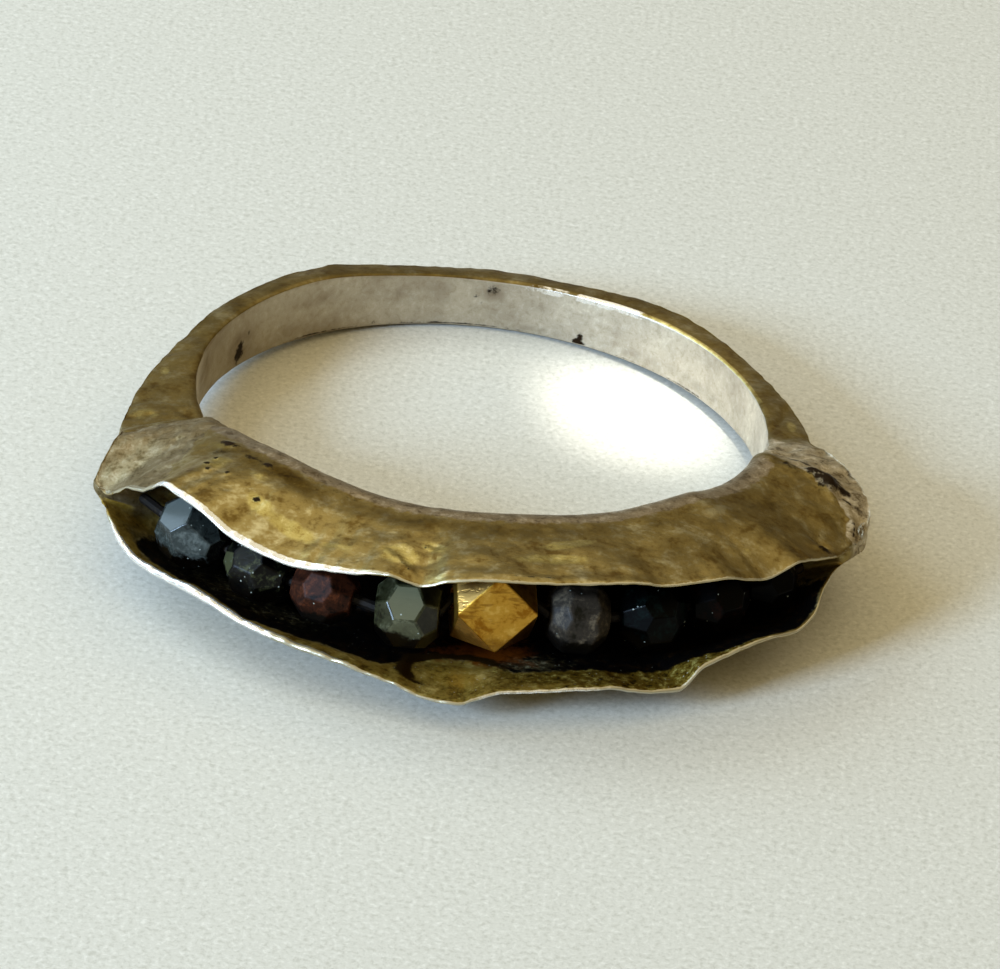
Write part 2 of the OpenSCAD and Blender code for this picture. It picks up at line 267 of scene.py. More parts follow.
upper_lip = np.minimum(curve(LIP, 1, angles), LIP_LIMIT * space)
lower_lip = np.minimum(curve(LIP, 2, angles), LIP_LIMIT * space)
print("lips from", round(float(min(upper_lip.min(), lower_lip.min())), 3), "mm")

# %% [markdown]
# Three functions draw the parts of a section. Each column is one point of the section, worked out
# for every angle round the ring at once, with its zone and its share of the way through that zone.
# %% Columns of points
def sheet(crest_z, edge, share):
    """The outside of a sheet, from its crest at share 0 to its lip at share 1."""
    return mix(crest_r, edge[0], share), mix(crest_z, edge[1], share**SHEET_ROUND)


def edge_into_hole(crest_z, side, turn):
    """The rounded edge between a crest and the finger hole's wall."""
    return (crest_r - (crest_r - FINGER_R) * math.cos(turn),
            crest_z - side * drop * (1 - math.sin(turn)))


def hollow(crest_z, edge, side, lip, share):
    """The inside of a sheet, which is thickest in the corner and thin at the lip."""
    thick = mix(SHEET_T + CORNER_FILL * (1 - share)**3, lip, share**3)
    r, z = sheet(crest_z, edge, share)
    return mix(FINGER_R + FLOOR_T, edge[0], share), z - side * thick


columns = []
for share in np.linspace(1, 0, SHEET_STEPS):
    columns.append((UPPER, share, *sheet(top, upper, share)))
for turn in np.linspace(EDGE_END, EDGE_START, EDGE_STEPS):
    columns.append((TOP_EDGE, turn / 90, *edge_into_hole(top, 1, math.radians(turn))))
for share in np.linspace(1, 0, BORE_STEPS):
    columns.append((BORE, share, FINGER_R + 0 * angles, mix(bottom + drop, top - drop, share)))
for turn in np.linspace(EDGE_START, EDGE_END, EDGE_STEPS):
    columns.append((LOW_EDGE, turn / 90, *edge_into_hole(bottom, -1, math.radians(turn))))
for share in np.linspace(0, 1, LOWER_STEPS):
    columns.append((LOWER, share, *sheet(bottom, lower, share)))
outside_count = len(columns)

for t in np.linspace(0, 1, LIP_STEPS + 2)[1:-1]:
    columns.append((LOW_LIP, t, lower[0] + LIP_BULGE * lower_lip * math.sin(math.pi * t),
                    lower[1] + lower_lip * t))
for share in np.linspace(1, HOLLOW_START, HOLLOW_STEPS):
    columns.append((LOW_HOLLOW, share, *hollow(bottom, lower, -1, lower_lip, share)))
floor_ends = [hollow(bottom, lower, -1, lower_lip, HOLLOW_START),
              hollow(top, upper, 1, upper_lip, HOLLOW_START)]
for t in np.linspace(0, 1, FLOOR_STEPS + 2)[1:-1]:
    columns.append((FLOOR, t,
                    mix(floor_ends[0][0], floor_ends[1][0], t) - FLOOR_BOW * math.sin(math.pi * t),
                    mix(floor_ends[0][1], floor_ends[1][1], t)))
for share in np.linspace(HOLLOW_START, 1, HOLLOW_STEPS):
    columns.append((TOP_HOLLOW, share, *hollow(top, upper, 1, upper_lip, share)))
for t in np.linspace(1, 0, LIP_STEPS + 2)[1:-1]:
    columns.append((TOP_LIP, t, upper[0] + LIP_BULGE * upper_lip * math.sin(math.pi * t),
                    upper[1] - upper_lip * t))

# %% [markdown]
# The columns become one grid of points. Towards the band the trough closes: there the hollow's
# points move out to a plain face between the two lips, so the band is solid.
# %% Grid of points, solid at the band
zone = np.array([c[0] for c in columns])
share = np.array([c[1] for c in columns])
section_r = np.stack([c[2] for c in columns], axis=1)
section_z = np.stack([c[3] for c in columns], axis=1)
inner = slice(outside_count, len(columns))
inner_count = len(columns) - outside_count
along_face = np.linspace(0, 1, inner_count)[None, :]
face_r = mix(lower[0][:, None], upper[0][:, None], along_face)
face_r = face_r + FACE_BOW * np.sin(np.pi * along_face)
face_z = mix(lower[1][:, None], upper[1][:, None], along_face)
section_r[:, inner] = mix(section_r[:, inner], face_r, filled[:, None])
section_z[:, inner] = mix(section_z[:, inner], face_z, filled[:, None])
print(len(angles), "sections of", len(columns), "points")

# %% [markdown]
# The surface is far from smooth. The sheet was hammered and folded by hand, so it has broad soft
# dents, sharp creases, small pits and a lump of solder at the right shoulder. A sculptor would
# push these in by hand. Here a table lists them, and each row moves the points near it along the
# surface's own direction. Smooth noise of a few sizes gives the uneven ground between them.
# %% Place, direction and relief of every point
radians = np.radians(angles)[:, None]
grid = np.stack([section_r * np.sin(radians), -section_r * np.cos(radians), section_z], axis=-1)
spot_angle = np.repeat(angles[:, None], len(columns), axis=1)
spot_out = section_r - FINGER_R
spot_z = section_z.copy()


def facing(grid):
    """Unit directions out of the surface of a closed grid of points."""
    forward = np.roll(grid, -1, axis=0) - np.roll(grid, 1, axis=0)
    across = np.roll(grid, -1, axis=1) - np.roll(grid, 1, axis=1)
    normal = np.cross(across, forward)
    return normal / np.maximum(np.linalg.norm(normal, axis=-1, keepdims=True), 1e-9)


def rough(points, size, octaves, seed):
    """Smooth noise at each point, from about -1 to 1; size is the width of its lumps."""
    flat = points.reshape(-1, 3) / size + seed
    values = [noise.fractal(Vector(p), 0.9, 2.0, octaves) for p in flat]
    return np.array(values).reshape(points.shape[:-1])


def only(*zones):
    """True for the points of each section that lie in the named zones."""
    return np.isin(zone, zones)[None, :]


def spot(zones, angle, place, length, width, turn):
    """How near each point is to a spot, from 1 in its middle to 0, in the named zones."""
    level = spot_z if BORE in zones else spot_out
    centre_r = FINGER_R + (0 if BORE in zones else place)
    gap = (spot_angle - angle + 180) % 360 - 180
    s = np.radians(gap) * centre_r
    w = level - place
    c, d = math.cos(math.radians(turn)), math.sin(math.radians(turn))
    value = np.exp(-((s * c + w * d) / length)**2 - ((w * c - s * d) / width)**2)
    return value * only(*zones)


print("grid of", grid.shape[0], "by", grid.shape[1], "points")

# %% Dents and uneven ground
# By zone: angle, reach, half length, half width, turn, height
DENTS = {
    UPPER: [
        (-43.5, 2.50, 0.14, 0.12, 30, -0.07), (-42.2, 2.68, 0.10, 0.08, 0, -0.06),
        (-39.4, 2.42, 0.08, 0.09, 0, -0.05), (-44.2, 2.05, 0.08, 0.12, 0, -0.05),
        (-47.0, 1.18, 0.42, 0.20, -14, -0.10), (-36.4, 1.30, 0.20, 0.14, 0, -0.05),
        (-32.2, 2.72, 0.11, 0.12, 0, -0.07), (-31.0, 2.20, 0.90, 0.55, 0, -0.05),
        (-25.0, 3.30, 0.80, 0.45, -8, 0.05), (-14.0, 2.70, 0.70, 0.50, 10, -0.05),
        (-7.4, 3.55, 0.75, 0.08, 38, -0.06), (-5.2, 3.20, 0.60, 0.15, -22, 0.045),
        (-9.6, 3.30, 0.35, 0.05, 50, -0.04), (-0.2, 3.98, 0.50, 0.05, 0, 0.04),
        (-2.8, 3.86, 0.35, 0.06, -20, -0.05), (-5.2, 2.50, 0.10, 0.10, 0, -0.05),
        (-4.0, 2.35, 0.16, 0.12, 0, 0.05), (1.5, 3.00, 0.60, 0.35, 0, -0.05),
        (9.2, 3.90, 1.90, 0.06, 0, -0.07), (16.5, 2.40, 0.75, 0.50, 0, -0.06),
        (24.0, 3.30, 0.50, 0.30, 0, -0.04), (33.2, 3.92, 0.14, 0.07, 0, 0.06),
        (56.7, 3.86, 0.36, 0.11, 31, -0.17), (57.8, 3.60, 0.42, 0.11, 60, 0.10),
        (65.2, 3.78, 0.60, 0.08, -31, -0.15), (68.3, 3.92, 0.50, 0.24, -31, 0.08),
        (71.6, 1.85, 0.24, 0.26, 0, -0.16), (71.2, 2.35, 0.34, 0.34, 0, -0.20),
        (71.8, 2.85, 0.14, 0.18, 0, -0.10), (78.0, 1.10, 0.35, 0.80, 0, 0.10),
        (77.0, 2.40, 0.30, 0.60, 0, 0.09), (-66.8, 1.60, 0.16, 1.20, 0, -0.06),
        (98.5, 0.50, 0.95, 0.10, 24, 0.12), (96.0, 0.30, 0.60, 0.14, 24, -0.06),
    ],
    LOW_HOLLOW: [
        (1.2, 3.20, 1.30, 0.80, 0, -0.10), (1.7, 2.72, 1.10, 0.14, 0, 0.07),
    ],
}
# Zones, height of broad dents, of small ones and of fine roughness
GROUND = [
    ((UPPER, LOWER), 0.055, 0.022, 0.008),
    ((TOP_EDGE, LOW_EDGE), 0.02, 0.012, 0.005),
    ((BORE,), 0.0, 0.006, 0.003),
    ((LOW_LIP, TOP_LIP), 0.02, 0.014, 0.004),
    ((LOW_HOLLOW, FLOOR, TOP_HOLLOW), 0.02, 0.025, 0.010),
]
# The broad dents are deepest in front on the left, and shallow on the right and on the band
DEPTH = [(-180, 0.25), (-84, 0.5), (-66, 1.0), (12, 0.8), (24, 0.15), (62, 0.15), (72, 1.2),
         (88, 1.0), (108, 0.3), (180, 0.25)]
broad = rough(grid, 1.9, 2, 4.2) * along(angles, DEPTH)[:, None]
# Small dents and fine roughness fade towards the band, which is smoother
SMALL_DEPTH = [(-100, 0.3), (-84, 0.5), (-66, 1), (12, 1), (24, 0.6), (60, 0.6), (70, 1),
               (84, 0.5), (100, 0.3)]
small = rough(grid, 0.55, 2, 9.5) * along(angles, SMALL_DEPTH)[:, None]
fine = rough(grid, 0.16, 2, 17.0) * along(angles, SMALL_DEPTH)[:, None]
height = np.zeros(section_r.shape)
for zones, broad_height, small_height, fine_height in GROUND:
    ground = broad_height * broad + small_height * small + fine_height * fine
    height += ground * only(*zones)
for dented, rows in DENTS.items():
    for *where, lift in rows:
        height += lift * spot((dented,), *where)

# All of these fade out at the lips and at the feet that the ring rests on
near_lip = np.where(only(UPPER, LOWER), np.clip((1 - share) / 0.12, 0.25, 1), 1)
at_foot = np.clip((section_z + KEEL) / 0.35, 0.1, 1)
height = height * near_lip * at_foot
print(sum(len(rows) for rows in DENTS.values()), "dents")

# %% [markdown]
# At both ends of the trough, solder and folded sheet left lumpy grey metal with wandering borders.
# The masks of these two patches are needed for their relief now and for their colour later.
# %% Lumps at the shoulders
# Borders of the grey metal as reach and angle: the wrap at the left end, the ridge at the right
WRAP_BORDER = [(0.7, -54), (2.4, -49.5), (3.9, -45)]
WRAP_BACK = -65.5
RIDGE_BORDER = [(0, 73), (1.4, 70.5), (2.4, 69), (3.3, 66.2), (3.9, 63), (4.3, 60.5)]
RIDGE_BACK = 91
wander = 1.8 * rough(grid, 0.7, 3, 41.0)
outside = np.maximum(only(UPPER, TOP_EDGE, LOW_EDGE, LOWER) * 1.0,
                     (zone >= LOW_LIP)[None, :] * filled[:, None])
past_wrap = along(spot_out, WRAP_BORDER) - spot_angle + wander
past_back = spot_angle - WRAP_BACK + wander
past_ridge = spot_angle - along(spot_out, RIDGE_BORDER) + wander
wrap = outside * rise(past_wrap, 0, 1.2) * rise(past_back, 0, 1.2)
ridge = outside * rise(past_ridge, 0, 1.4) * rise(RIDGE_BACK - spot_angle + 2.5 * wander, 0, 7)
on_shoulder = rise(abs(spot_angle), 66, 4) * fall(abs(spot_angle), 116, 10)
crust = spot((LOW_HOLLOW,), 30, 3.4, 3.4, 1.3, 0) + spot((LOW_HOLLOW,), -24, 3.0, 1.6, 0.9, 0)
# Lumps of the ridge and of the wrap, the wrap's raised back border, the shoulders' hammered flats
# and the crust in the trough
height += ridge * (0.03 + 0.08 * rough(grid, 0.60, 2, 23.0))
height += wrap * (0.03 + 0.035 * rough(grid, 0.42, 3, 29.0))
height += outside * 0.05 * np.exp(-((past_back - 1.0) / 1.1)**2) * (spot_out > 0.3)
height += outside * on_shoulder * 0.08 * (0.35 - abs(rough(grid, 1.15, 1, 51.0)))
height += crust * 0.05 * rough(grid, 0.20, 3, 31.0)
grid = grid + facing(grid) * height[..., None]
print("relief from", round(height.min(), 3), "to", round(height.max(), 3), "mm")

# %% [markdown]
# Masks say where each finish shows. They are worked out from the zones and from tables of spots,
# and stored on the points as attributes, which a material reads by name. A painter would mask
# the same places: the worn lips, the polished finger hole, the black deposit in the trough. Some
# masks also paint light and shade: highlights, dark reflections and shade deep in the trough.
# %% Worn metal and painted highlights
MASKS = {}


def stretch(middle, half, power):
    """1 along the ring round the angle middle, fading to 0 at half degrees from it."""
    return np.clip(1 - ((spot_angle - middle) / half)**power, 0, 1)


def patches(zones, table, values):
    """The strongest of a table's spots at each point, or the given values where they are stronger."""
    for *where, strength in table:
        values = np.maximum(values, strength * spot(zones, *where))
    return values


# The lips of the trough are worn, whitest on the left, and so are the crest and the rounded edges.
# The white on the lips is partly a painted highlight, set where the light glints on them
lip_share = np.where(only(UPPER, LOWER), share, 0)
on_lip = only(LOW_LIP, TOP_LIP).astype(float)
crest_wear = np.exp(-(share / 0.10)**2) * only(UPPER)
in_trough = fall(abs(spot_angle - 4), 70, 8)
on_low_lip = only(LOW_LIP, LOWER, LOW_HOLLOW)
white_lip_highlight = np.where(on_low_lip, stretch(-37.5, 16.5, 6), stretch(-29, 18, 6))
rim_from = np.where(only(UPPER), along(spot_angle, [(-20, 0.965), (-8, 0.992)]),
                    along(spot_angle, [(30, 0.96), (40, 0.99)]))
rim = np.maximum(on_lip * (1 - 0.9 * filled[:, None]), rise(lip_share, rim_from, 0.02)) * in_trough
low_end = fall(spot_angle, -53, 2) * on_low_lip
# On the right the lips are only worn along one border, so the pale line is thin there. On the
# left the lower lip is worn wide
thin_top = rise(spot_angle, -14, 5) * (only(TOP_LIP) & (share > 0.5))
thin_low = rise(spot_angle, 33, 4) * (only(LOW_LIP) & (share < 0.5))
rim = rim * (1 - 0.85 * np.maximum(thin_top, thin_low))
wide_low = (only(LOW_HOLLOW) & (share > 0.965)) * fall(spot_angle, -10, 6)
rim = np.maximum(rim, 0.9 * wide_low * in_trough * (1 - filled[:, None]))
MASKS["rim"] = rim * (1 - low_end)
# A painted highlight: the bright strip on the finger hole's upper edge, broken once and uneven
glint = stretch(161, 15.5, 4) * ((only(TOP_EDGE) & (share < 0.9)) | (only(BORE) & (share > 0.9)))
glint = glint * (1 - 0.7 * np.exp(-((spot_angle - 164.5) / 1.8)**2))
glint = glint * (0.75 + 0.6 * rough(grid, 0.5, 2, 71.0))
broken_white_highlight = 0.56 * stretch(12, 11, 4) * on_low_lip
# Pale worn metal of the lips, partly a painted highlight, and the painted highlight strip
MASKS["worn"] = np.maximum(rim * np.maximum(white_lip_highlight, broken_white_highlight), glint)
MASKS["crest"] = (0.9 * crest_wear + only(TOP_EDGE, LOW_EDGE)) * in_trough
print(list(MASKS))

# %% [markdown]
# The finger hole was polished by the finger. It is bright, duller towards the left, and has kept
# a few brown smudges.
# %% Finger hole
inside = 1.0 * only(BORE) + 0.9 * (only(TOP_EDGE, LOW_EDGE) & (share < 0.3))
MASKS["bore"] = inside + 0 * spot_z
MASKS["dull"] = inside * along(spot_angle, [(-180, 0.26), (-155, 0.34), (-135, 0.44), (-100, 0.62),
                                            (-90, 0.1), (165, 0.1), (180, 0.24)])
# Old brown smudges in the finger hole: angle, height, half length, half width, turn, strength
SMUDGES = [(-117, -0.25, 0.75, 0.65, 0, 0.85), (-98, 0.20, 0.90, 0.80, 0, 0.70),
           (-179, 0.42, 0.45, 0.40, 0, 0.75), (-160, 0.30, 0.60, 0.50, 0, 0.45),
           (-140, 0.40, 1.10, 0.35, 0, 0.40), (150, -0.55, 1.40, 0.25, 0, 0.45),
           (128, -0.50, 1.60, 0.25, 0, 0.45), (170, -0.70, 1.60, 0.16, 0, 0.50)]
smudges = patches((BORE,), SMUDGES, 0.0) * (0.8 + 0.6 * rough(grid, 0.35, 3, 85.0))
MASKS["smudge"] = np.maximum(0.30 * inside * (0.4 + rough(grid, 1.2, 3, 81.0)), smudges)
print(len(SMUDGES), "smudges")

# %% [markdown]
# On the outside the golden patina gives way to grey metal at both shoulders. It is browner in
# places, partly from brown stain and partly as a painted dark reflection under the crest and on
# the band's top, and paler in patches of painted highlight.
# %% Patina of the outside, with painted dark reflections and painted highlights
MASKS["grey"] = np.maximum(0.75 * wrap, ridge)
MASKS["solder"] = ridge

# Brown: a band under the crest that is a painted dark reflection, brown stain in patches on the
# right, and on the band's top brown stain deepened by painted dark reflection
under_crest = only(UPPER) * np.exp(-((share - 0.22) / 0.15)**2)
crest_reflection_weight = along(angles, [(-56, 0), (-48, 1.0), (-20, 0.95), (10, 0.85), (26, 0.6), (66, 0.5),
                             (70, 0)])
side_stain_and_reflection = along(angles, [(-180, 0.74), (-110, 0.74), (-66, 0.50), (-60, 0.06), (18, 0.16),
                            (30, 0.56), (60, 0.70), (70, 0.5), (110, 0.62), (180, 0.74)])
brown = np.maximum(under_crest * crest_reflection_weight[:, None], outside * side_stain_and_reflection[:, None])
MASKS["brown"] = brown * (0.85 + 0.5 * rough(grid, 1.1, 3, 61.0))

# Painted highlights, pale golden: angle, reach, half length, half width, turn, strength
PAINTED_HIGHLIGHTS = [
    (-31.0, 2.85, 0.75, 0.36, 10, 0.8), (-25.0, 3.05, 1.20, 0.36, 8, 0.85),
    (-17.5, 3.25, 0.9, 0.3, 0, 0.6), (-8.5, 3.10, 0.70, 0.60, 0, 0.9),
    (-4.2, 2.45, 0.55, 0.30, 20, 0.8), (13.0, 2.90, 1.40, 0.35, 0, 0.8),
    (16.0, 2.10, 0.90, 0.28, -10, 1.0), (-43.0, 2.20, 0.55, 0.60, 0, 0.7),
    (-36, 1.90, 0.7, 0.35, 0, 0.5), (44.0, 3.20, 1.00, 0.40, 0, 0.4),
    (-88, 1.00, 0.50, 0.25, 0, 0.6), (96, 0.80, 0.50, 0.20, 0, 0.8),
    (-72, 1.80, 0.50, 0.60, 0, 0.6),
]
# A painted golden highlight also runs along the finger hole's upper edge on the right
edge_gold_highlight = along(spot_angle, [(96, 0), (108, 0.55), (146, 0.55), (158, 0)])
MASKS["rubbed"] = patches((UPPER,), PAINTED_HIGHLIGHTS, edge_gold_highlight * (only(TOP_EDGE) & (share > 0.2)))
print(len(PAINTED_HIGHLIGHTS), "painted highlight spots")

# %% [markdown]
# The trough is black, partly with old deposit and partly with painted shade deep inside it. Only
# its lower wall, where light falls, still shows metal near the lip, with yellow-green crust, and
# here and there grit, rust and gilt patches, some of them painted light.
# %% Inside of the trough
# How far in from its lip the lower wall of the trough is lit and still shows metal: angle, share
LIT_FROM = [(-60, 0.30), (-49, 0.80), (-28, 0.88), (-18, 0.76), (-9, 0.72), (-4.5, 0.42), (-3, 0.36),
            (4.5, 0.36), (6.5, 0.46), (9, 0.60), (20, 0.58), (30, 0.66), (38, 0.90), (62, 0.95)]
hollow_zone = only(LOW_HOLLOW, FLOOR, TOP_HOLLOW) * (1 - filled[:, None])
lit_wall = only(LOW_HOLLOW) * rise(share, along(angles, LIT_FROM)[:, None], 0.12)
left_end = fall(spot_angle, -48.5, 4)
# Black deposit, partly painted shade deep in the trough
MASKS["soot"] = hollow_zone * (1 - 0.85 * lit_wall) * (1 - 0.9 * left_end)
MASKS["crust"] = np.clip(crust, 0, 1) * np.clip(lit_wall * 2, 0, 1) + 0.4 * lit_wall
MASKS["grit"] = 0.62 * hollow_zone * np.maximum(spot((LOW_HOLLOW, FLOOR), -32, 2.7, 3.4, 1.3, 0),
                                                spot((LOW_HOLLOW, FLOOR), 12, 2.6, 1.6, 0.9, 0))
MASKS["rust"] = 0.60 * hollow_zone * spot((LOW_HOLLOW, FLOOR), 5, 1.9, 2.4, 1.6, 0)
MASKS["olive"] = hollow_zone * np.maximum(0.8 * lit_wall, left_end)
# Gilt patches of the trough's lower wall: angle, reach, half length, half width, turn, strength.
# The patch at 1 degree is partly a painted reflection in the dent below the gold bead, and the
# one at -57 degrees is painted light on the shaded left end wall
GILT_AND_PAINTED_LIGHT_PATCHES = [(-16, 4.10, 1.0, 0.25, 0, 0.6), (1.0, 3.35, 1.05, 0.85, 0, 1.0),
                 (12, 4.35, 2.2, 0.18, 0, 0.7), (-57, 3.60, 0.8, 0.60, 0, 0.9)]
# Painted light: the left end wall of the trough, which lies in shade, is made pale gilt
end_wall = (fall(spot_angle, -50.5, 3) * rise(spot_angle, -63, 2)
            * (only(LOW_LIP) | (only(LOW_HOLLOW) & (share > 0.45))))
MASKS["gilt"] = patches((LOW_HOLLOW,), GILT_AND_PAINTED_LIGHT_PATCHES, np.maximum(rim * low_end, 0.85 * end_wall))
# A darker ring round the dent below the gold bead, mostly on its left and its far side
dent = spot((LOW_HOLLOW,), 1.0, 3.35, 1.40, 1.05, 0)
one_side = np.clip(0.85 + 0.25 * (1 - spot_angle) / 5 + 0.4 * (3.35 - spot_out), 0.45, 1)
round_dent = np.clip(1 - abs(dent - 0.32) / 0.24, 0, 1)
MASKS["dirt"] = one_side * round_dent * fall(spot_out, 4.7, 0.5)
print(len(GILT_AND_PAINTED_LIGHT_PATCHES), "pale patches")

# %% Dark stains, and two rows of painted dark reflection under the crest
# By zone: angle, reach, or height in the finger hole, half length, half width, turn, darkness
STAINS = {
    BORE: [
        (161.7, -0.82, 0.30, 0.14, 0, 1.0), (161.7, -0.66, 0.14, 0.26, 0, 0.9),
        (-170.0, -0.84, 3.20, 0.06, 0, 0.7), (-140.0, -0.84, 2.20, 0.05, 0, 0.7),
        (134.0, -0.82, 1.40, 0.06, 0, 0.7), (150.0, -0.84, 1.00, 0.04, 0, 0.6),
        (-154.4, -0.72, 0.12, 0.12, 0, 0.8), (-167.6, -0.86, 0.14, 0.10, 0, 0.9),
        (-117.0, -0.40, 0.26, 0.46, 12, 0.9), (-120.0, 0.05, 0.14, 0.35, 20, 0.5),
        (-179.0, 0.40, 0.32, 0.30, 40, 0.6), (-176.0, 0.10, 0.30, 0.08, 50, 0.7),
        (-160.0, 0.62, 0.16, 0.16, 0, 0.5), (175.0, -0.82, 0.70, 0.06, 0, 0.6),
    ],
    UPPER: [
        (71.4, 2.35, 0.62, 0.55, 0, 0.80), (70.6, 1.20, 0.30, 0.60, 0, 0.62),
        (70.0, 3.30, 0.10, 0.60, 0, 0.65), (-46.8, 1.15, 0.55, 0.22, -14, 0.75),
        (-43.5, 2.50, 0.15, 0.13, 30, 1.0), (-45.6, 1.70, 0.35, 0.45, 20, 0.55),
        (-40.0, 1.25, 0.60, 0.18, 0, 0.60), (-42.2, 2.68, 0.11, 0.09, 0, 0.9),
        (-39.4, 2.42, 0.09, 0.10, 0, 0.9), (-44.2, 2.05, 0.09, 0.13, 0, 0.9),
        (-36.4, 1.30, 0.28, 0.18, 0, 0.7), (-32.2, 2.72, 0.12, 0.13, 0, 1.0),
        (-7.4, 3.55, 0.60, 0.07, 38, 0.6), (-5.2, 2.50, 0.12, 0.09, 0, 0.7),
        (9.2, 3.90, 1.90, 0.05, 0, 0.6), (56.7, 3.86, 0.34, 0.11, 31, 1.0),
        (65.2, 3.78, 0.55, 0.06, -31, 0.7), (71.8, 1.85, 0.30, 0.34, 0, 0.9),
        (71.4, 2.40, 0.46, 0.42, 0, 1.0), (71.8, 2.90, 0.24, 0.30, 0, 0.9),
        # The long faint rows at 11 and -22 degrees deepen the painted dark reflection under the crest
        (74.5, 1.20, 0.14, 0.60, 0, 0.8), (11.0, 0.90, 3.00, 0.18, 0, 0.35),
        (-22.0, 0.95, 2.60, 0.30, 0, 0.35),
    ],
}
MASKS["stain"] = 0.0
for stained, rows in STAINS.items():
    MASKS["stain"] = patches((stained,), rows, MASKS["stain"])
for name, values in MASKS.items():
    MASKS[name] = np.clip(values, 0, 1)
    print(name, "covers", round(float(MASKS[name].mean()) * 100, 1), "%")

# %% [markdown]
# The points become a mesh in one go: each point, its neighbour along the ring and the two next to
# them make a four-sided face. Both directions close on themselves, so the piece has no open edge.
# %% Mesh of the silver
def store(mesh, name, values, domain="POINT"):
    """Keeps one number for each point or face of a mesh, under a name that materials can read."""
    attribute = mesh.attributes.new(name, "FLOAT", domain)
    attribute.data.foreach_set("value", values.astype(np.float32).ravel())


def shade_smooth(mesh):
    mesh.polygons.foreach_set("use_smooth", np.ones(len(mesh.polygons), bool))


def mesh_from(bm, name):
    """The finished bmesh as a mesh."""
    mesh = bpy.data.meshes.new(name)
    bm.to_mesh(mesh)
    bm.free()
    return mesh


def add_piece(name, mesh, slot_name, *nodes):
    """Links a mesh as a piece of the ring that stands for the named construction solids."""
    piece = new_object(name, mesh)
    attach(piece, "root")
    if nodes:
        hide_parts(*nodes)
    return piece


section_count, point_count = section_r.shape
here = np.arange(section_count)[:, None] * point_count
there = np.roll(np.arange(section_count), -1)[:, None] * point_count
j = np.arange(point_count)[None, :]
k = np.roll(np.arange(point_count), -1)[None, :]
quads = np.stack([here + j, here + k, there + k, there + j], axis=-1).reshape(-1, 4)
silver_mesh = bpy.data.meshes.new("silver")
silver_mesh.from_pydata(laid(grid).reshape(-1, 3).tolist(), [], quads.tolist())
shade_smooth(silver_mesh)
for name, values in MASKS.items():
    store(silver_mesh, name, values)
silver_mesh.update()
silver = add_piece("silver", silver_mesh, "tarnished_silver", "ring_body")
print(len(silver_mesh.polygons), "faces")

# %% [markdown]
# At the right end the solder ran down over the edge and set as a small tongue. It is a ball,
# drawn out downwards, with a groove down its middle, and it sinks into the silver behind it.
# %% Tongue of solder
TONGUE_ANGLE = math.radians(66.5)
TONGUE_PLACE = (FINGER_R + 3.98, 0.66)
TONGUE_HALF = (0.32, 0.17, 0.52)
GROOVE_HALF = 0.22
bm = bmesh.new()
bmesh.ops.create_icosphere(bm, subdivisions=5, radius=1)
for vertex in bm.verts:
    x, y, z = vertex.co
    narrow = 0.72 + 0.28 * z
    in_groove = math.exp(-(x / GROOVE_HALF)**2)
    groove = 1 - 0.10 * in_groove * (0.6 - 0.4 * z)
    lumps = 1 + 0.16 * noise.fractal(Vector((x, y, z)) * 1.7, 0.9, 2.0, 3)
    s = x * TONGUE_HALF[0] * narrow * lumps
    r = TONGUE_PLACE[0] + y * TONGUE_HALF[1] * groove * lumps
    a = TONGUE_ANGLE + s / TONGUE_PLACE[0]
    drop = z * TONGUE_HALF[2] * (1 - 0.14 * in_groove) * lumps
    vertex.co = Vector(laid((r * math.sin(a), -r * math.cos(a), TONGUE_PLACE[1] + drop)))
bmesh.ops.recalc_face_normals(bm, faces=bm.faces[:])
tongue_mesh = mesh_from(bm, "solder_tongue")
shade_smooth(tongue_mesh)
for name in ("grey", "solder"):
    store(tongue_mesh, name, np.ones(len(tongue_mesh.vertices)))
tongue = add_piece("solder_tongue", tongue_mesh, "tarnished_silver")
print("tongue of", len(tongue_mesh.polygons), "faces")

# %% [markdown]
# The beads are small cut stones: a band of facets round the middle, a band on each shoulder and a
# flat table at each drilled end. A gem cutter starts from a lump and grinds one flat at a time,
# and the same works here. A block is cut by one plane after another, the edges are rounded a
# little, because old beads are worn, and the hole is drilled last.
# %% Table of the beads
ROW_R = FINGER_R + 3.1
BEAD_HOLE_R = 0.32
# Name, place along the row, distance out, height, length, width, facets round it, tilt and
# distance of the shoulder facets, spin, turn against the hole, worn edge
BEADS = [
    ("blue_bead", -8.75, 2.90, 0.12, 2.50, 2.10, 7, 40, 1.04, -6, -18, 0.035),
    ("dark_bead", -6.16, 2.82, -0.01, 2.05, 2.00, 8, 42, 1.02, 5, 0, 0.05),
    ("red_bead", -3.95, 2.85, 0.00, 1.85, 1.85, 8, 40, 1.03, 12, 0, 0.05),
    ("green_bead", -1.40, 2.62, -0.08, 1.85, 2.15, 7, 42, 1.02, 0, -5, 0.05),
    ("gold_bead", 1.10, 2.10, 0.30, 2.33, 2.33, 4, 35.26, 1.1547, -7, 3, 0.04),
    ("grey_bead", 3.78, 2.40, 0.00, 1.75, 2.10, 9, 44, 1.00, 8, 0, 0.08),
    ("black_bead_1", 6.05, 2.62, 0.00, 2.05, 2.05, 8, 42, 1.02, 0, 0, 0.035),
    ("black_bead_2", 8.33, 2.68, 0.04, 1.95, 1.95, 8, 40, 1.03, 11, 0, 0.035),
    ("black_bead_3", 10.38, 2.86, 0.14, 1.75, 1.70, 8, 42, 1.02, 17, 0, 0.035),
]


def on_row(place):
    """A point of the bead row, from its place along the row, its distance out and its height."""
    a = place[0] / ROW_R
    r = FINGER_R + place[1]
    return np.array([r * math.sin(a), -r * math.cos(a), place[2]])


row_points = [on_row(bead[1:4]) for bead in BEADS]
row_runs = [row_points[min(i + 1, len(BEADS) - 1)] - row_points[max(i - 1, 0)]
            for i in range(len(BEADS))]
print("row of", len(BEADS), "beads")

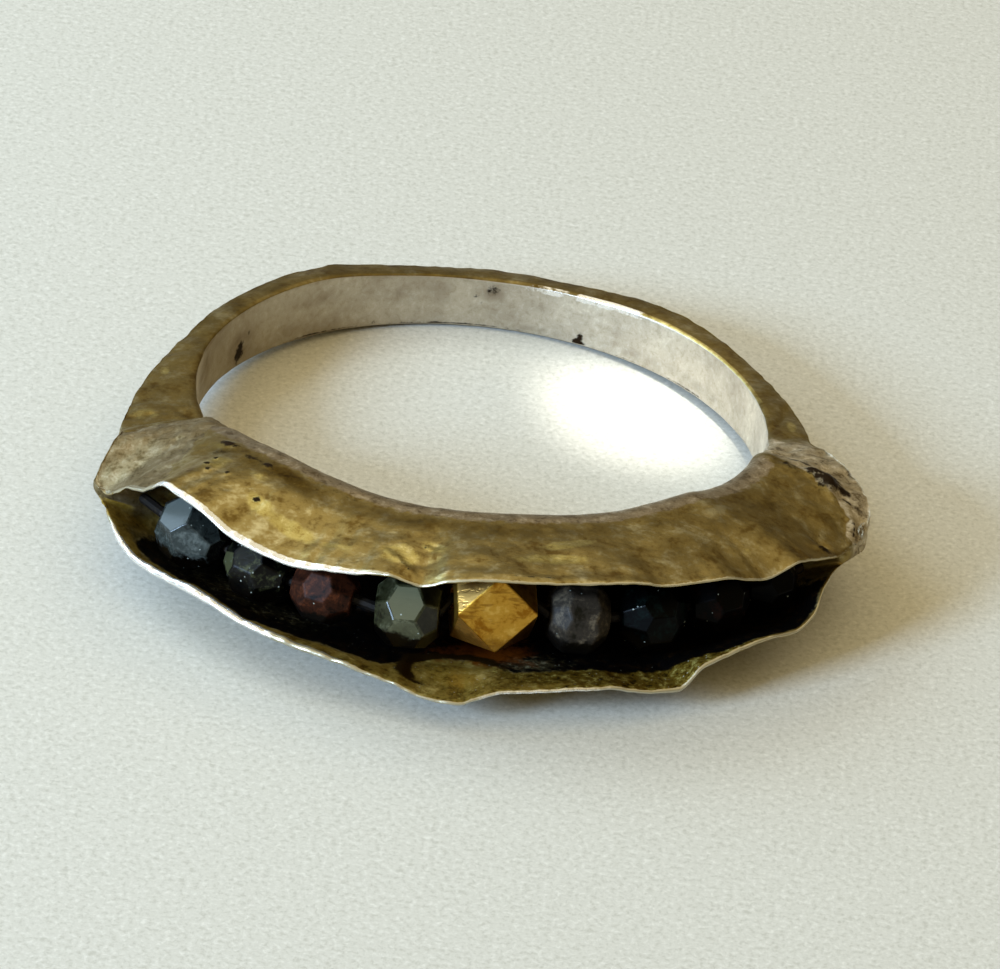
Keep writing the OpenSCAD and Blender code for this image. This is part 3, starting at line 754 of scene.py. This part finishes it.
# %% Cut, round and drill a bead
BLOCK = 6.0


def facet_planes(sides, length, half, tilt, shoulder, spin):
    """Direction and distance of each flat: the middle band, both shoulders and the two ends."""
    rows = [(0, 360 * n / sides + spin, half) for n in range(sides)]
    for end in (-1, 1):
        rows += [(end * tilt, 360 * (n + 0.5) / sides + spin, half * shoulder)
                 for n in range(sides)]
    rows += [(90, 0, length / 2), (-90, 0, length / 2)]
    planes = []
    for lean_deg, turn_deg, distance in rows:
        a, b = math.radians(lean_deg), math.radians(turn_deg)
        normal = Vector((math.sin(a), -math.cos(a) * math.sin(b), math.cos(a) * math.cos(b)))
        planes.append((normal, distance))
    return planes


def cut_bead(planes, worn):
    """A block cut by each plane, with softened edges."""
    bm = bmesh.new()
    bmesh.ops.create_cube(bm, size=BLOCK)
    for normal, distance in planes:
        everything = bm.verts[:] + bm.edges[:] + bm.faces[:]
        bmesh.ops.bisect_plane(bm, geom=everything, plane_co=normal * distance, plane_no=normal,
                               clear_outer=True)
        open_edges = [edge for edge in bm.edges if edge.is_boundary]
        bmesh.ops.holes_fill(bm, edges=open_edges, sides=0)
    bmesh.ops.remove_doubles(bm, verts=bm.verts[:], dist=0.002)
    bmesh.ops.bevel(bm, geom=bm.edges[:] + bm.verts[:], offset=worn, offset_type="OFFSET",
                    segments=3, profile=0.6, affect="EDGES", clamp_overlap=True)
    return mesh_from(bm, "cut")


def drilled(mesh, turn):
    """The mesh turned against its hole, with the hole drilled through it."""
    mesh.transform(Matrix.Rotation(math.radians(turn), 4, "Z"))
    stone = new_object("stone", mesh)
    bm = bmesh.new()
    bmesh.ops.create_cone(bm, cap_ends=True, segments=32, radius1=BEAD_HOLE_R, radius2=BEAD_HOLE_R,
                          depth=BLOCK, matrix=Matrix.Rotation(math.pi / 2, 4, "Y"))
    drill = new_object("drill", mesh_from(bm, "drill"))
    cut = stone.modifiers.new("hole", "BOOLEAN")
    cut.operation = "DIFFERENCE"
    cut.solver = "EXACT"
    cut.object = drill
    bpy.context.view_layer.update()
    result = bpy.data.meshes.new_from_object(
        stone.evaluated_get(bpy.context.evaluated_depsgraph_get()))
    for thing in (stone, drill):
        bpy.data.objects.remove(thing)
    return result


def place_bead(mesh, centre, run):
    """Moves a bead from its own millimetres to its place on the row, in the frame."""
    heading = math.atan2(run[1], run[0])
    climb = math.atan2(run[2], math.hypot(run[0], run[1]))
    mesh.transform(Matrix.Rotation(heading, 4, "Z") @ Matrix.Rotation(-climb, 4, "Y"))
    points = np.array([v.co for v in mesh.vertices]) + centre
    mesh.vertices.foreach_set("co", laid(points).astype(np.float32).ravel())
    mesh.update()


# Tones of single flats, from 0 for dark to 1 for pale, by their place in the list of flats:
# the middle band, the left shoulder, the right shoulder, the right end and the left end. On the
# gold bead these tones are painted light and shade, and on the stones partly so
FACET_TONES = {
    "blue_bead": {1: 1.00, 2: 0.52, 7: 0.30, 8: 0.42, 9: 0.30, 14: 0.25, 15: 0.60, 16: 0.80, 21: 0.05},
    "dark_bead": {9: 1.00, 10: 0.85},
    "red_bead": {1: 0.62, 2: 0.30, 8: 0.30, 9: 0.30, 16: 0.66, 17: 0.50, 18: 0.25, 24: 0.10},
    "green_bead": {1: 1.00, 2: 0.80, 7: 0.25, 8: 0.40, 14: 0.10, 15: 0.12, 16: 0.28, 21: 0.02},
    "gold_bead": {0: 0.55, 1: 0.42, 4: 0.95, 5: 0.85, 8: 0.22, 9: 0.15, 12: 0.20},
}
FACET_MIN = 0.12


def number_facets(mesh, planes, turn, tones, seed):
    """Gives each flat its own tone, which a material reads as the attribute facet."""
    rng = np.random.default_rng(seed)
    turning = Matrix.Rotation(math.radians(turn), 3, "Z")
    directions = np.array([turning @ normal for normal, _ in planes])
    all_tones = np.array([tones.get(n, 0.3 + 0.4 * rng.random()) for n in range(len(planes))])
    values = np.zeros(len(mesh.polygons))
    for polygon in mesh.polygons:
        nearest = int(np.argmax(directions @ np.array(polygon.normal)))
        values[polygon.index] = all_tones[nearest] if polygon.area > FACET_MIN else 0.5
    store(mesh, "facet", values, "FACE")


bead_pieces = {}
for i, bead in enumerate(BEADS):
    name, _, _, _, length, width, sides, tilt, shoulder, spin, turn, worn = bead
    planes = facet_planes(sides, length, width / 2, tilt, shoulder, spin)
    mesh = drilled(cut_bead(planes, worn), turn)
    number_facets(mesh, planes, turn, FACET_TONES.get(name, {}), i)
    place_bead(mesh, row_points[i], row_runs[i])
    slot_name = {"gold_bead": "gold"}.get(name, name.split("_")[0] + "_stone")
    bead_pieces[name] = add_piece(name + "_cut", mesh, slot_name, name)
    print(name, len(mesh.polygons), "faces")

# %% [markdown]
# Finishes. Metal and stone here share a few effects: mottled colour, fine grain that breaks up the
# gloss, scratches, specks of crystal, and grime with painted shade towards the bottom of the beads.
# Each is a node group with named inputs, built once. The groups only put out colours, masks and
# heights. The shader itself stays in each material, where an exporter can read it.
# %% Helpers for node trees
def connect(tree, value, socket):
    """Links a socket, or sets a plain value."""
    if isinstance(value, bpy.types.NodeSocket):
        tree.links.new(value, socket)
    else:
        socket.default_value = value


def add_node(tree, kind, inputs=None, **settings):
    """A node with its properties, and its inputs by name or by number."""
    made = tree.nodes.new(kind)
    for key, value in settings.items():
        setattr(made, key, value)
    for key, value in (inputs or {}).items():
        connect(tree, value, made.inputs[key])
    return made


def blend(tree, factor, a, b):
    """Colour a turning into colour b as factor goes from 0 to 1."""
    return add_node(tree, "ShaderNodeMix", {0: factor, 6: a, 7: b}, data_type="RGBA").outputs[2]


def mix_number(tree, factor, a, b):
    """Number a turning into number b as factor goes from 0 to 1."""
    return add_node(tree, "ShaderNodeMix", {0: factor, 2: a, 3: b}).outputs[0]


def sums(tree, how, a, b):
    """One sum on two numbers."""
    return add_node(tree, "ShaderNodeMath", {0: a, 1: b}, operation=how).outputs[0]


def times(tree, a, b):
    """Two numbers multiplied."""
    return sums(tree, "MULTIPLY", a, b)


def ramp(tree, value, low, high, to_low=0.0, to_high=1.0):
    """A number moved from one range to another, smoothly and without overshoot."""
    inputs = {"Value": value, "From Min": low, "From Max": high, "To Min": to_low, "To Max": to_high}
    return add_node(tree, "ShaderNodeMapRange", inputs,
                    interpolation_type="SMOOTHSTEP").outputs["Result"]


def noise_value(tree, place, scale, detail, roughness, distortion=0.0):
    """Smooth noise, from 0 to 1."""
    inputs = {"Vector": place, "Scale": scale, "Detail": detail, "Roughness": roughness,
              "Distortion": distortion}
    return add_node(tree, "ShaderNodeTexNoise", inputs).outputs["Fac"]


def colour(r, g, b):
    """A screen colour, 0 to 255, as the light that it stands for."""
    return tuple((c / 255)**2.2 for c in (r, g, b)) + (1.0,)


def new_group(name, inputs, outputs):
    """An empty shader group: inputs give each socket's first value, and a tuple is a colour."""
    group = bpy.data.node_groups.new(name, "ShaderNodeTree")
    for key, value in inputs.items():
        kind = "NodeSocketColor" if isinstance(value, tuple) else "NodeSocketFloat"
        group.interface.new_socket(key, in_out="INPUT", socket_type=kind).default_value = value
    for key in outputs:
        kind = "NodeSocketColor" if key == "Color" else "NodeSocketFloat"
        group.interface.new_socket(key, in_out="OUTPUT", socket_type=kind)
    return group, group.nodes.new("NodeGroupInput").outputs, group.nodes.new("NodeGroupOutput").inputs


def use_group(tree, group, **inputs):
    """Places a shared group in a material, with its own values."""
    made = tree.nodes.new("ShaderNodeGroup")
    made.node_tree = group
    for key, value in inputs.items():
        connect(tree, value, made.inputs[key])
    return made.outputs


def own_place(tree):
    """The piece's own coordinates, in metres."""
    return add_node(tree, "ShaderNodeTexCoord").outputs["Object"]


def scale_for(tree, size):
    """The texture scale whose lumps are as wide as the given size in millimetres."""
    return sums(tree, "DIVIDE", 1 / MM, size)


# %% Mottled colour
CLOUD_WEIGHT = 0.72
FLECKS_FINER = 5.0
ALL_DARK, ALL_MIDDLE, ALL_LIGHT = 0.36, 0.50, 0.68

mottle, put, out = new_group(
    "mottle", {"Size": 1.0, "Dark": colour(60, 45, 20), "Middle": colour(120, 100, 60),
               "Light": colour(190, 170, 110)}, ["Color", "Amount"])
place = own_place(mottle)
scale = scale_for(mottle, put["Size"])
clouds = noise_value(mottle, place, scale, 4.0, 0.62, 0.4)
flecks = noise_value(mottle, place, times(mottle, scale, FLECKS_FINER), 3.0, 0.6)
both = sums(mottle, "ADD", times(mottle, clouds, CLOUD_WEIGHT),
            times(mottle, flecks, 1 - CLOUD_WEIGHT))
lower_half = blend(mottle, ramp(mottle, both, ALL_DARK, ALL_MIDDLE), put["Dark"], put["Middle"])
mottle.links.new(blend(mottle, ramp(mottle, both, ALL_MIDDLE, ALL_LIGHT), lower_half, put["Light"]),
                 out["Color"])
mottle.links.new(both, out["Amount"])
print("group", mottle.name)

# %% Fine grain and pits, as a height
PITS_PER_GRAIN = 0.35

grain, put, out = new_group("grain", {"Size": 0.1, "Pits": 0.3}, ["Height", "Pitted"])
place = own_place(grain)
scale = scale_for(grain, put["Size"])
sand = noise_value(grain, place, scale, 4.0, 0.65)
cells = add_node(grain, "ShaderNodeTexVoronoi",
                 {"Vector": place, "Scale": times(grain, scale, PITS_PER_GRAIN)}).outputs
pitted = times(grain, ramp(grain, cells["Distance"], 0.05, 0.22, 1.0, 0.0), put["Pits"])
grain.links.new(sums(grain, "SUBTRACT", sand, pitted), out["Height"])
grain.links.new(pitted, out["Pitted"])
print("group", grain.name)

# %% Scratches, as a height and a mask
# Turn of each set of scratches in radians, and how much their noise is drawn out
SCRATCH_SETS = [(0.35, 0.06), (-0.75, 0.10)]

scratch, put, out = new_group("scratches", {"Size": 0.2, "Amount": 0.5}, ["Height", "Mask"])
masks = []
for turn, stretched in SCRATCH_SETS:
    turned_place = add_node(scratch, "ShaderNodeMapping",
                            {"Vector": own_place(scratch), "Rotation": (turn, turn * 2, turn),
                             "Scale": (stretched, 1.0, 1.0)}).outputs["Vector"]
    lines = noise_value(scratch, turned_place, scale_for(scratch, put["Size"]), 2.0, 0.5)
    masks.append(ramp(scratch, lines, 0.60, 0.70))
lines_mask = times(scratch, sums(scratch, "MAXIMUM", *masks), put["Amount"])
scratch.links.new(times(scratch, lines_mask, -1.0), out["Height"])
scratch.links.new(lines_mask, out["Mask"])
print("group", scratch.name)

# %% A ragged mask: a soft mask whose border is broken up by noise
ragged, put, out = new_group("ragged_mask", {"Mask": 0.0, "Size": 0.4, "Raggedness": 0.5}, ["Mask"])
breaking = noise_value(ragged, own_place(ragged), scale_for(ragged, put["Size"]), 3.0, 0.7)
shift = times(ragged, sums(ragged, "SUBTRACT", breaking, 0.5), times(ragged, put["Raggedness"], 2.0))
ragged.links.new(ramp(ragged, sums(ragged, "ADD", put["Mask"], shift), 0.35, 0.65), out["Mask"])
print("group", ragged.name)

# %% Sparkle: single small specks of crystal, as a mask
sparkle, put, out = new_group("sparkle", {"Size": 0.1, "Amount": 0.2}, ["Mask"])
grains = add_node(sparkle, "ShaderNodeTexVoronoi",
                  {"Vector": own_place(sparkle), "Scale": scale_for(sparkle, put["Size"])}).outputs
drawn = add_node(sparkle, "ShaderNodeSeparateXYZ", {"Vector": grains["Color"]}).outputs["X"]
specks = times(sparkle, sums(sparkle, "LESS_THAN", drawn, put["Amount"]),
               ramp(sparkle, grains["Distance"], 0.12, 0.30, 1.0, 0.0))
sparkle.links.new(specks, out["Mask"])
print("group", sparkle.name)

# %% Grime and painted shade: the beads darker towards their bottom, as a mask
DARKENING_START = 1.6

grime_and_shade, put, out = new_group(
    "grime_and_shade", {"Top": 2.8, "Amount": 0.8, "Size": 0.3, "Raggedness": 0.4}, ["Mask"])
level = add_node(grime_and_shade, "ShaderNodeSeparateXYZ", {"Vector": own_place(grime_and_shade)}).outputs["Z"]
soft = ramp(grime_and_shade, level, DARKENING_START * MM, times(grime_and_shade, put["Top"], MM), put["Amount"], 0.0)
grime_and_shade.links.new(use_group(grime_and_shade, ragged, Mask=soft, Size=put["Size"],
                          Raggedness=put["Raggedness"])["Mask"], out["Mask"])
print("group", grime_and_shade.name)


# %% Helpers for materials
def new_material(name):
    """A material with its tree and its principled shader."""
    material = bpy.data.materials.new(name)
    material.use_nodes = True
    return material, material.node_tree, material.node_tree.nodes["Principled BSDF"]


def finish_shader(tree, shader, linked, constants):
    """Links sockets to the shader and sets its plain values."""
    for key, value in linked.items():
        tree.links.new(value, shader.inputs[key])
    for key, value in constants.items():
        shader.inputs[key].default_value = value


def dress(piece, look):
    """Gives a piece one finish, in place of any that it had."""
    piece.data.materials.clear()
    piece.data.materials.append(look)


def read_mask(tree, name):
    return add_node(tree, "ShaderNodeAttribute", attribute_name=name).outputs["Fac"]


def mottled(tree, size, *tones):
    """The mottle group, from its size in millimetres and its dark, middle and light tone."""
    dark, middle, light = [colour(*tone) for tone in tones]
    return use_group(tree, mottle, Size=size, Dark=dark, Middle=middle, Light=light)


def bump(tree, height, strength, distance_mm, normal=None):
    made = add_node(tree, "ShaderNodeBump",
                    {"Height": height, "Strength": strength, "Distance": distance_mm * MM})
    if normal is not None:
        tree.links.new(normal, made.inputs["Normal"])
    return made.outputs["Normal"]


# %% [markdown]
# Tarnished silver. The real metal shows many finishes that run into each other: a golden-brown
# patina on the sheet, grey silver where solder flowed, pale worn lips, a bright finger hole with
# old smudges, a black deposit in the trough and a yellow-green crust on its lower wall. Some
# layers also paint light and shade: highlights on the sheet, the lips and the finger hole's edge,
# a dark reflection under the crest and on the band's top, light on the trough's left end wall and
# shade deep in the trough. They are layered in one material, each laid over the last through its
# own mask. Most masks get a ragged border first, because wear and dirt never end in a clean line.
# %% Tarnished silver
silver_look, tree, shader = new_material("tarnished_silver")
patina = mottled(tree, 0.9, (112, 90, 46), (156, 137, 85), (204, 193, 150))
LAYERS = [
    # Mask, size and raggedness of its border (None for a soft one), metallic, roughness, and then
    # one plain tone, or the size of the mottling with its dark, middle and light tone
    # Brown, partly a painted dark reflection under the crest and on the band's top
    ("brown", None, 0.85, 0.52, 0.55, (58, 43, 16), (84, 66, 28), (112, 92, 46)),
    # Painted highlights, pale golden, on the sheet and on the finger hole's upper edge
    ("rubbed", (0.40, 0.30), 0.95, 0.34, 0.35, (156, 135, 76), (190, 174, 108), (222, 209, 152)),
    ("crest", (0.30, 0.45), 0.90, 0.44, 0.35, (112, 97, 74), (152, 137, 112), (192, 179, 156)),
    ("grey", (0.35, 0.35), 0.85, 0.48, 0.40, (98, 84, 56), (134, 119, 88), (168, 154, 124)),
    ("solder", (0.30, 0.30), 0.70, 0.54, 0.35, (104, 90, 66), (168, 154, 126), (214, 202, 178)),
    ("olive", (0.60, 0.25), 0.35, 0.42, 0.60, (74, 56, 20), (134, 112, 52), (184, 162, 94)),
    ("crust", (0.25, 0.40), 0.35, 0.55, 0.22, (30, 22, 8), (98, 78, 26), (176, 164, 92)),
    # Black deposit, partly painted shade deep in the trough
    ("soot", (0.35, 0.35), 0.10, 0.60, 0.40, (3, 2, 1), (10, 7, 3), (36, 24, 9)),
    ("grit", (0.25, 0.60), 0.20, 0.55, 0.18, (16, 12, 7), (62, 56, 38), (140, 136, 108)),
    ("rust", (0.50, 0.35), 0.30, 0.45, (112, 58, 16)),
    # Gilt, partly painted light on the left end wall and in the dent below the gold bead
    ("gilt", (0.50, 0.20), 0.55, 0.42, 0.60, (104, 80, 26), (158, 130, 56), (205, 184, 112)),
    # A darker ring round the dent below the gold bead
    ("dirt", (0.40, 0.35), 0.20, 0.55, (40, 28, 9)),
    ("bore", (0.25, 0.10), 0.72, 0.42, 0.22, (188, 177, 156), (206, 196, 176), (224, 217, 199)),
    ("dull", None, 0.80, 0.48, (140, 124, 94)),
    ("smudge", None, 0.70, 0.50, (104, 84, 58)),
    ("rim", (0.14, 0.55), 0.90, 0.38, (194, 188, 164)),
    # White of the worn lips, partly a painted highlight, and the painted highlight strip on the finger
    # hole's upper edge
    ("worn", (0.14, 0.40), 0.85, 0.26, (248, 246, 240)),
    ("stain", (0.20, 0.45), 0.20, 0.60, (38, 27, 14)),
]
base = patina["Color"]
metallic = 0.95
roughness = ramp(tree, patina["Amount"], 0.35, 0.65, 0.42, 0.28)
for name, border, layer_metallic, layer_roughness, *tones in LAYERS:
    mask = read_mask(tree, name)
    if border:
        mask = use_group(tree, ragged, Mask=mask, Size=border[0], Raggedness=border[1])["Mask"]
    layer = colour(*tones[0]) if len(tones) == 1 else mottled(tree, *tones)["Color"]
    base = blend(tree, mask, base, layer)
    metallic = mix_number(tree, mask, metallic, layer_metallic)
    roughness = mix_number(tree, mask, roughness, layer_roughness)
# Crystals glitter in the crust and in the grit, as a few pale specks
specks = times(tree, use_group(tree, sparkle, Size=0.10, Amount=0.07)["Mask"],
               sums(tree, "MAXIMUM", read_mask(tree, "crust"), read_mask(tree, "grit")))
base = blend(tree, specks, base, colour(196, 198, 180))
sand = use_group(tree, grain, Size=0.10, Pits=0.35)
lines = use_group(tree, scratch, Size=0.16, Amount=0.5)
normal = bump(tree, lines["Height"], 0.25, 0.01, bump(tree, sand["Height"], 0.45, 0.02))
finish_shader(tree, shader, {"Base Color": base, "Metallic": metallic, "Roughness": roughness,
                             "Normal": normal}, {"Specular IOR Level": 0.08})
for piece in (silver, tongue):
    dress(piece, silver_look)
print(silver_look.name, "has", len(LAYERS) + 1, "layers")

# %% [markdown]
# The gold bead is soft, so it is scratched and its edges are rounded and bright. Its flats are
# given painted light and shade, some pale and some dark. The wire is silver that has gone black,
# and little of it shows.
# %% Gold and wire
gold_look, tree, shader = new_material("gold")
warm = mottled(tree, 0.7, (150, 100, 28), (196, 148, 58), (224, 182, 92))
tone = read_mask(tree, "facet")
# Painted light and shade: flats with a low tone are darkened and those with a high tone made pale
toned = blend(tree, ramp(tree, tone, 0.05, 0.50, 0.75, 0.0), warm["Color"], colour(104, 56, 12))
toned = blend(tree, ramp(tree, tone, 0.55, 1.0), toned, colour(252, 196, 108))
sand = use_group(tree, grain, Size=0.12, Pits=0.5)
lines = use_group(tree, scratch, Size=0.14, Amount=0.8)
# Painted shade: the gold bead is darker towards its bottom
grime_and_shade_mask = use_group(tree, grime_and_shade, Top=2.9, Amount=0.75, Size=0.30, Raggedness=0.35)["Mask"]
toned = blend(tree, times(tree, grime_and_shade_mask, 0.6), toned, colour(104, 64, 10))
toned = blend(tree, times(tree, lines["Mask"], 0.55), toned, colour(120, 78, 22))
normal = bump(tree, lines["Height"], 0.5, 0.012, bump(tree, sand["Height"], 0.3, 0.02))
roughness = ramp(tree, lines["Mask"], 0.0, 1.0, 0.38, 0.52)
finish_shader(tree, shader, {"Base Color": toned, "Roughness": roughness, "Normal": normal},
              {"Metallic": 0.95})
dress(bead_pieces["gold_bead"], gold_look)

wire_look, tree, shader = new_material("black_wire")
dark = mottled(tree, 0.3, (10, 8, 5), (22, 17, 11), (50, 40, 26))
normal = bump(tree, use_group(tree, grain, Size=0.1, Pits=0.2)["Height"], 0.4, 0.02)
finish_shader(tree, shader, {"Base Color": dark["Color"], "Normal": normal},
              {"Metallic": 0.4, "Roughness": 0.65})
dress(frame["nodes"]["bead_wire"], wire_look)
print(gold_look.name, wire_look.name)

# %% [markdown]
# Cut stones look different from facet to facet, because each one shows another part of the inside,
# and their flats are also given some painted light and shade. The attribute facet gives each flat
# its own tone, mottling gives the stone its clouds, and a smooth surface over both gives the gloss.
# %% Stones
STONES = {
    # Size of the clouds, their dark, middle and light tone, weight of the facets' tones,
    # roughness, gloss, share of specks
    "blue_bead": (0.5, (18, 20, 20), (48, 54, 52), (88, 94, 90), 0.9, 0.26, 0.22, 0.02),
    "dark_bead": (0.35, (4, 5, 6), (8, 9, 9), (70, 72, 50), 0.8, 0.32, 0.15, 0.12),
    "red_bead": (0.35, (18, 9, 6), (54, 30, 20), (98, 54, 34), 0.8, 0.50, 0.10, 0.02),
    "green_bead": (0.4, (16, 16, 5), (52, 53, 36), (98, 98, 76), 0.9, 0.28, 0.25, 0.02),
    "grey_bead": (0.55, (24, 22, 14), (50, 45, 39), (100, 90, 74), 0.25, 0.50, 0.12, 0.02),
    "black_bead_1": (0.5, (1, 1, 1), (2, 2, 2), (16, 26, 24), 0.1, 0.36, 0.04, 0.04),
    "black_bead_2": (0.5, (1, 1, 1), (3, 2, 2), (28, 14, 9), 0.1, 0.36, 0.04, 0.04),
    "black_bead_3": (0.5, (1, 1, 1), (2, 2, 2), (14, 14, 10), 0.1, 0.36, 0.04, 0.04),
}
PIT_ROUGHER = 0.25
STONE_IOR = 1.6
for name, (size, dark, middle, light, weight, polish, gloss, crystal) in STONES.items():
    look, tree, shader = new_material(name.replace("bead", "stone"))
    clouds = mottled(tree, size, dark, middle, light)["Color"]
    tone = read_mask(tree, "facet")
    # The flats' tones are partly painted light and shade
    darker = times(tree, ramp(tree, tone, 0.0, 0.55, 1.0, 0.0), weight)
    paler = times(tree, ramp(tree, tone, 0.6, 1.0), weight)
    toned = blend(tree, paler, blend(tree, darker, clouds, colour(*dark)), colour(*light))
    # Darker towards the bottom of each stone, partly grime and partly painted shade
    grime_and_shade_mask = use_group(tree, grime_and_shade, Top=2.75, Amount=0.85, Size=0.35, Raggedness=0.45)["Mask"]
    toned = blend(tree, grime_and_shade_mask, toned, colour(12, 9, 5))
    specks = use_group(tree, sparkle, Size=0.11, Amount=crystal)["Mask"]
    toned = blend(tree, specks, toned, colour(168, 176, 166))
    lines = use_group(tree, scratch, Size=0.18, Amount=0.4)
    pits = use_group(tree, grain, Size=0.25, Pits=0.5)
    roughness = ramp(tree, pits["Pitted"], 0.0, 0.5, polish, polish + PIT_ROUGHER)
    normal = bump(tree, lines["Height"], 0.25, 0.01, bump(tree, pits["Height"], 0.25, 0.01))
    finish_shader(tree, shader, {"Base Color": toned, "Roughness": roughness, "Normal": normal},
                  {"IOR": STONE_IOR, "Specular IOR Level": gloss})
    dress(bead_pieces[name], look)
print(len(STONES), "stone finishes")

# %% [markdown]
# The ring lies on pale paper by a window. A large soft light from the left makes the pale
# left-hand highlights and the warm shadow on the right, and a weak one at the side lights the
# left end. Three narrow ones make the gleam that the polished hole throws on the paper. A dim
# world, lighter overhead, is what the metal mirrors. Without something to mirror, metal looks
# black.
# %% Floor
FLOOR_SIZE = 1.2
floor_mesh = bpy.data.meshes.new("floor")
half = FLOOR_SIZE / 2
floor_mesh.from_pydata([(-half, -half, 0), (half, -half, 0), (half, half, 0), (-half, half, 0)],
                       [], [(0, 1, 2, 3)])
new_object("floor", floor_mesh)
paper, tree, shader = new_material("paper")
fibres = mottled(tree, 0.17, (192, 189, 176), (208, 205, 193), (225, 222, 211))
normal = bump(tree, use_group(tree, grain, Size=0.2, Pits=0.1)["Height"], 0.15, 0.02)
finish_shader(tree, shader, {"Base Color": fibres["Color"], "Normal": normal},
              {"Roughness": 0.9, "Specular IOR Level": 0.2})
floor_mesh.materials.append(paper)
print("floor of", FLOOR_SIZE, "m")


# %% Lights and world
def add_light(name, kind, watts, tint):
    """A light of the scene, with its data."""
    data = bpy.data.lights.new(name, kind)
    data.energy = watts
    data.color = tint
    return new_object(name, data), data


def area_light(name, azimuth, elevation, distance, size, watts, tint):
    """A square light that faces the ring; azimuth 0 is the front and 90 the right."""
    light, data = add_light(name, "AREA", watts, tint)
    data.size = size
    a, e = math.radians(azimuth), math.radians(elevation)
    direction = Vector((math.sin(a) * math.cos(e), -math.cos(a) * math.cos(e), math.sin(e)))
    light.location = direction * distance
    light.rotation_mode = "QUATERNION"
    light.rotation_quaternion = direction.to_track_quat("Z", "Y")


GLOW_HEIGHT = 0.25


def glow(name, x, y, radius, watts, tint):
    """A narrow soft spot straight down on a place of the paper, in millimetres."""
    light, data = add_light(name, "SPOT", watts, tint)
    data.spot_size = 2 * math.atan(radius * MM / GLOW_HEIGHT)
    data.spot_blend = 1.0
    data.shadow_soft_size = 0.001
    light.location = (x * MM, y * MM, GLOW_HEIGHT)


area_light("window", -51, 22, 0.35, 0.09, 1.76, (0.49, 0.70, 1.0))
area_light("window_side", -112, 36, 0.16, 0.10, 0.14, (0.52, 0.74, 1.0))
glow("gleam", 4.5, 6.5, 3.9, 2.6, (1.0, 0.98, 0.95))
glow("gleam_2", 2.8, 8.0, 2.6, 0.9, (1.0, 0.98, 0.95))
glow("gleam_3", 6.2, 5.0, 2.4, 0.5, (1.0, 0.98, 0.92))

DIM_WALL = (0.13, 0.092, 0.037, 1.0)
PALE_WALL = (0.30, 0.28, 0.22, 1.0)
BRIGHT_WALL = (1.38, 1.24, 0.90, 1.0)
CEILING = (0.80, 0.66, 0.36, 1.0)
world = bpy.data.worlds.new("room")
bpy.context.scene.world = world
world.use_nodes = True
tree = world.node_tree
sky = tree.nodes["Background"]
direction = add_node(tree, "ShaderNodeTexCoord").outputs["Generated"]
split = add_node(tree, "ShaderNodeSeparateXYZ", {"Vector": direction}).outputs
low_walls = blend(tree, ramp(tree, split["X"], -0.9, 0.5, 1.0, 0.0), DIM_WALL, PALE_WALL)
front = blend(tree, ramp(tree, split["Z"], 0.1, 0.9), low_walls, CEILING)
behind = blend(tree, ramp(tree, split["Z"], 0.54, 0.72), low_walls, BRIGHT_WALL)
behind = blend(tree, ramp(tree, split["Z"], 0.80, 0.98), behind, CEILING)
room = blend(tree, ramp(tree, split["Y"], -0.15, 0.35), front, behind)
tree.links.new(room, sky.inputs["Color"])
sky.inputs["Strength"].default_value = 0.94
bpy.context.scene.view_settings.view_transform = "Standard"
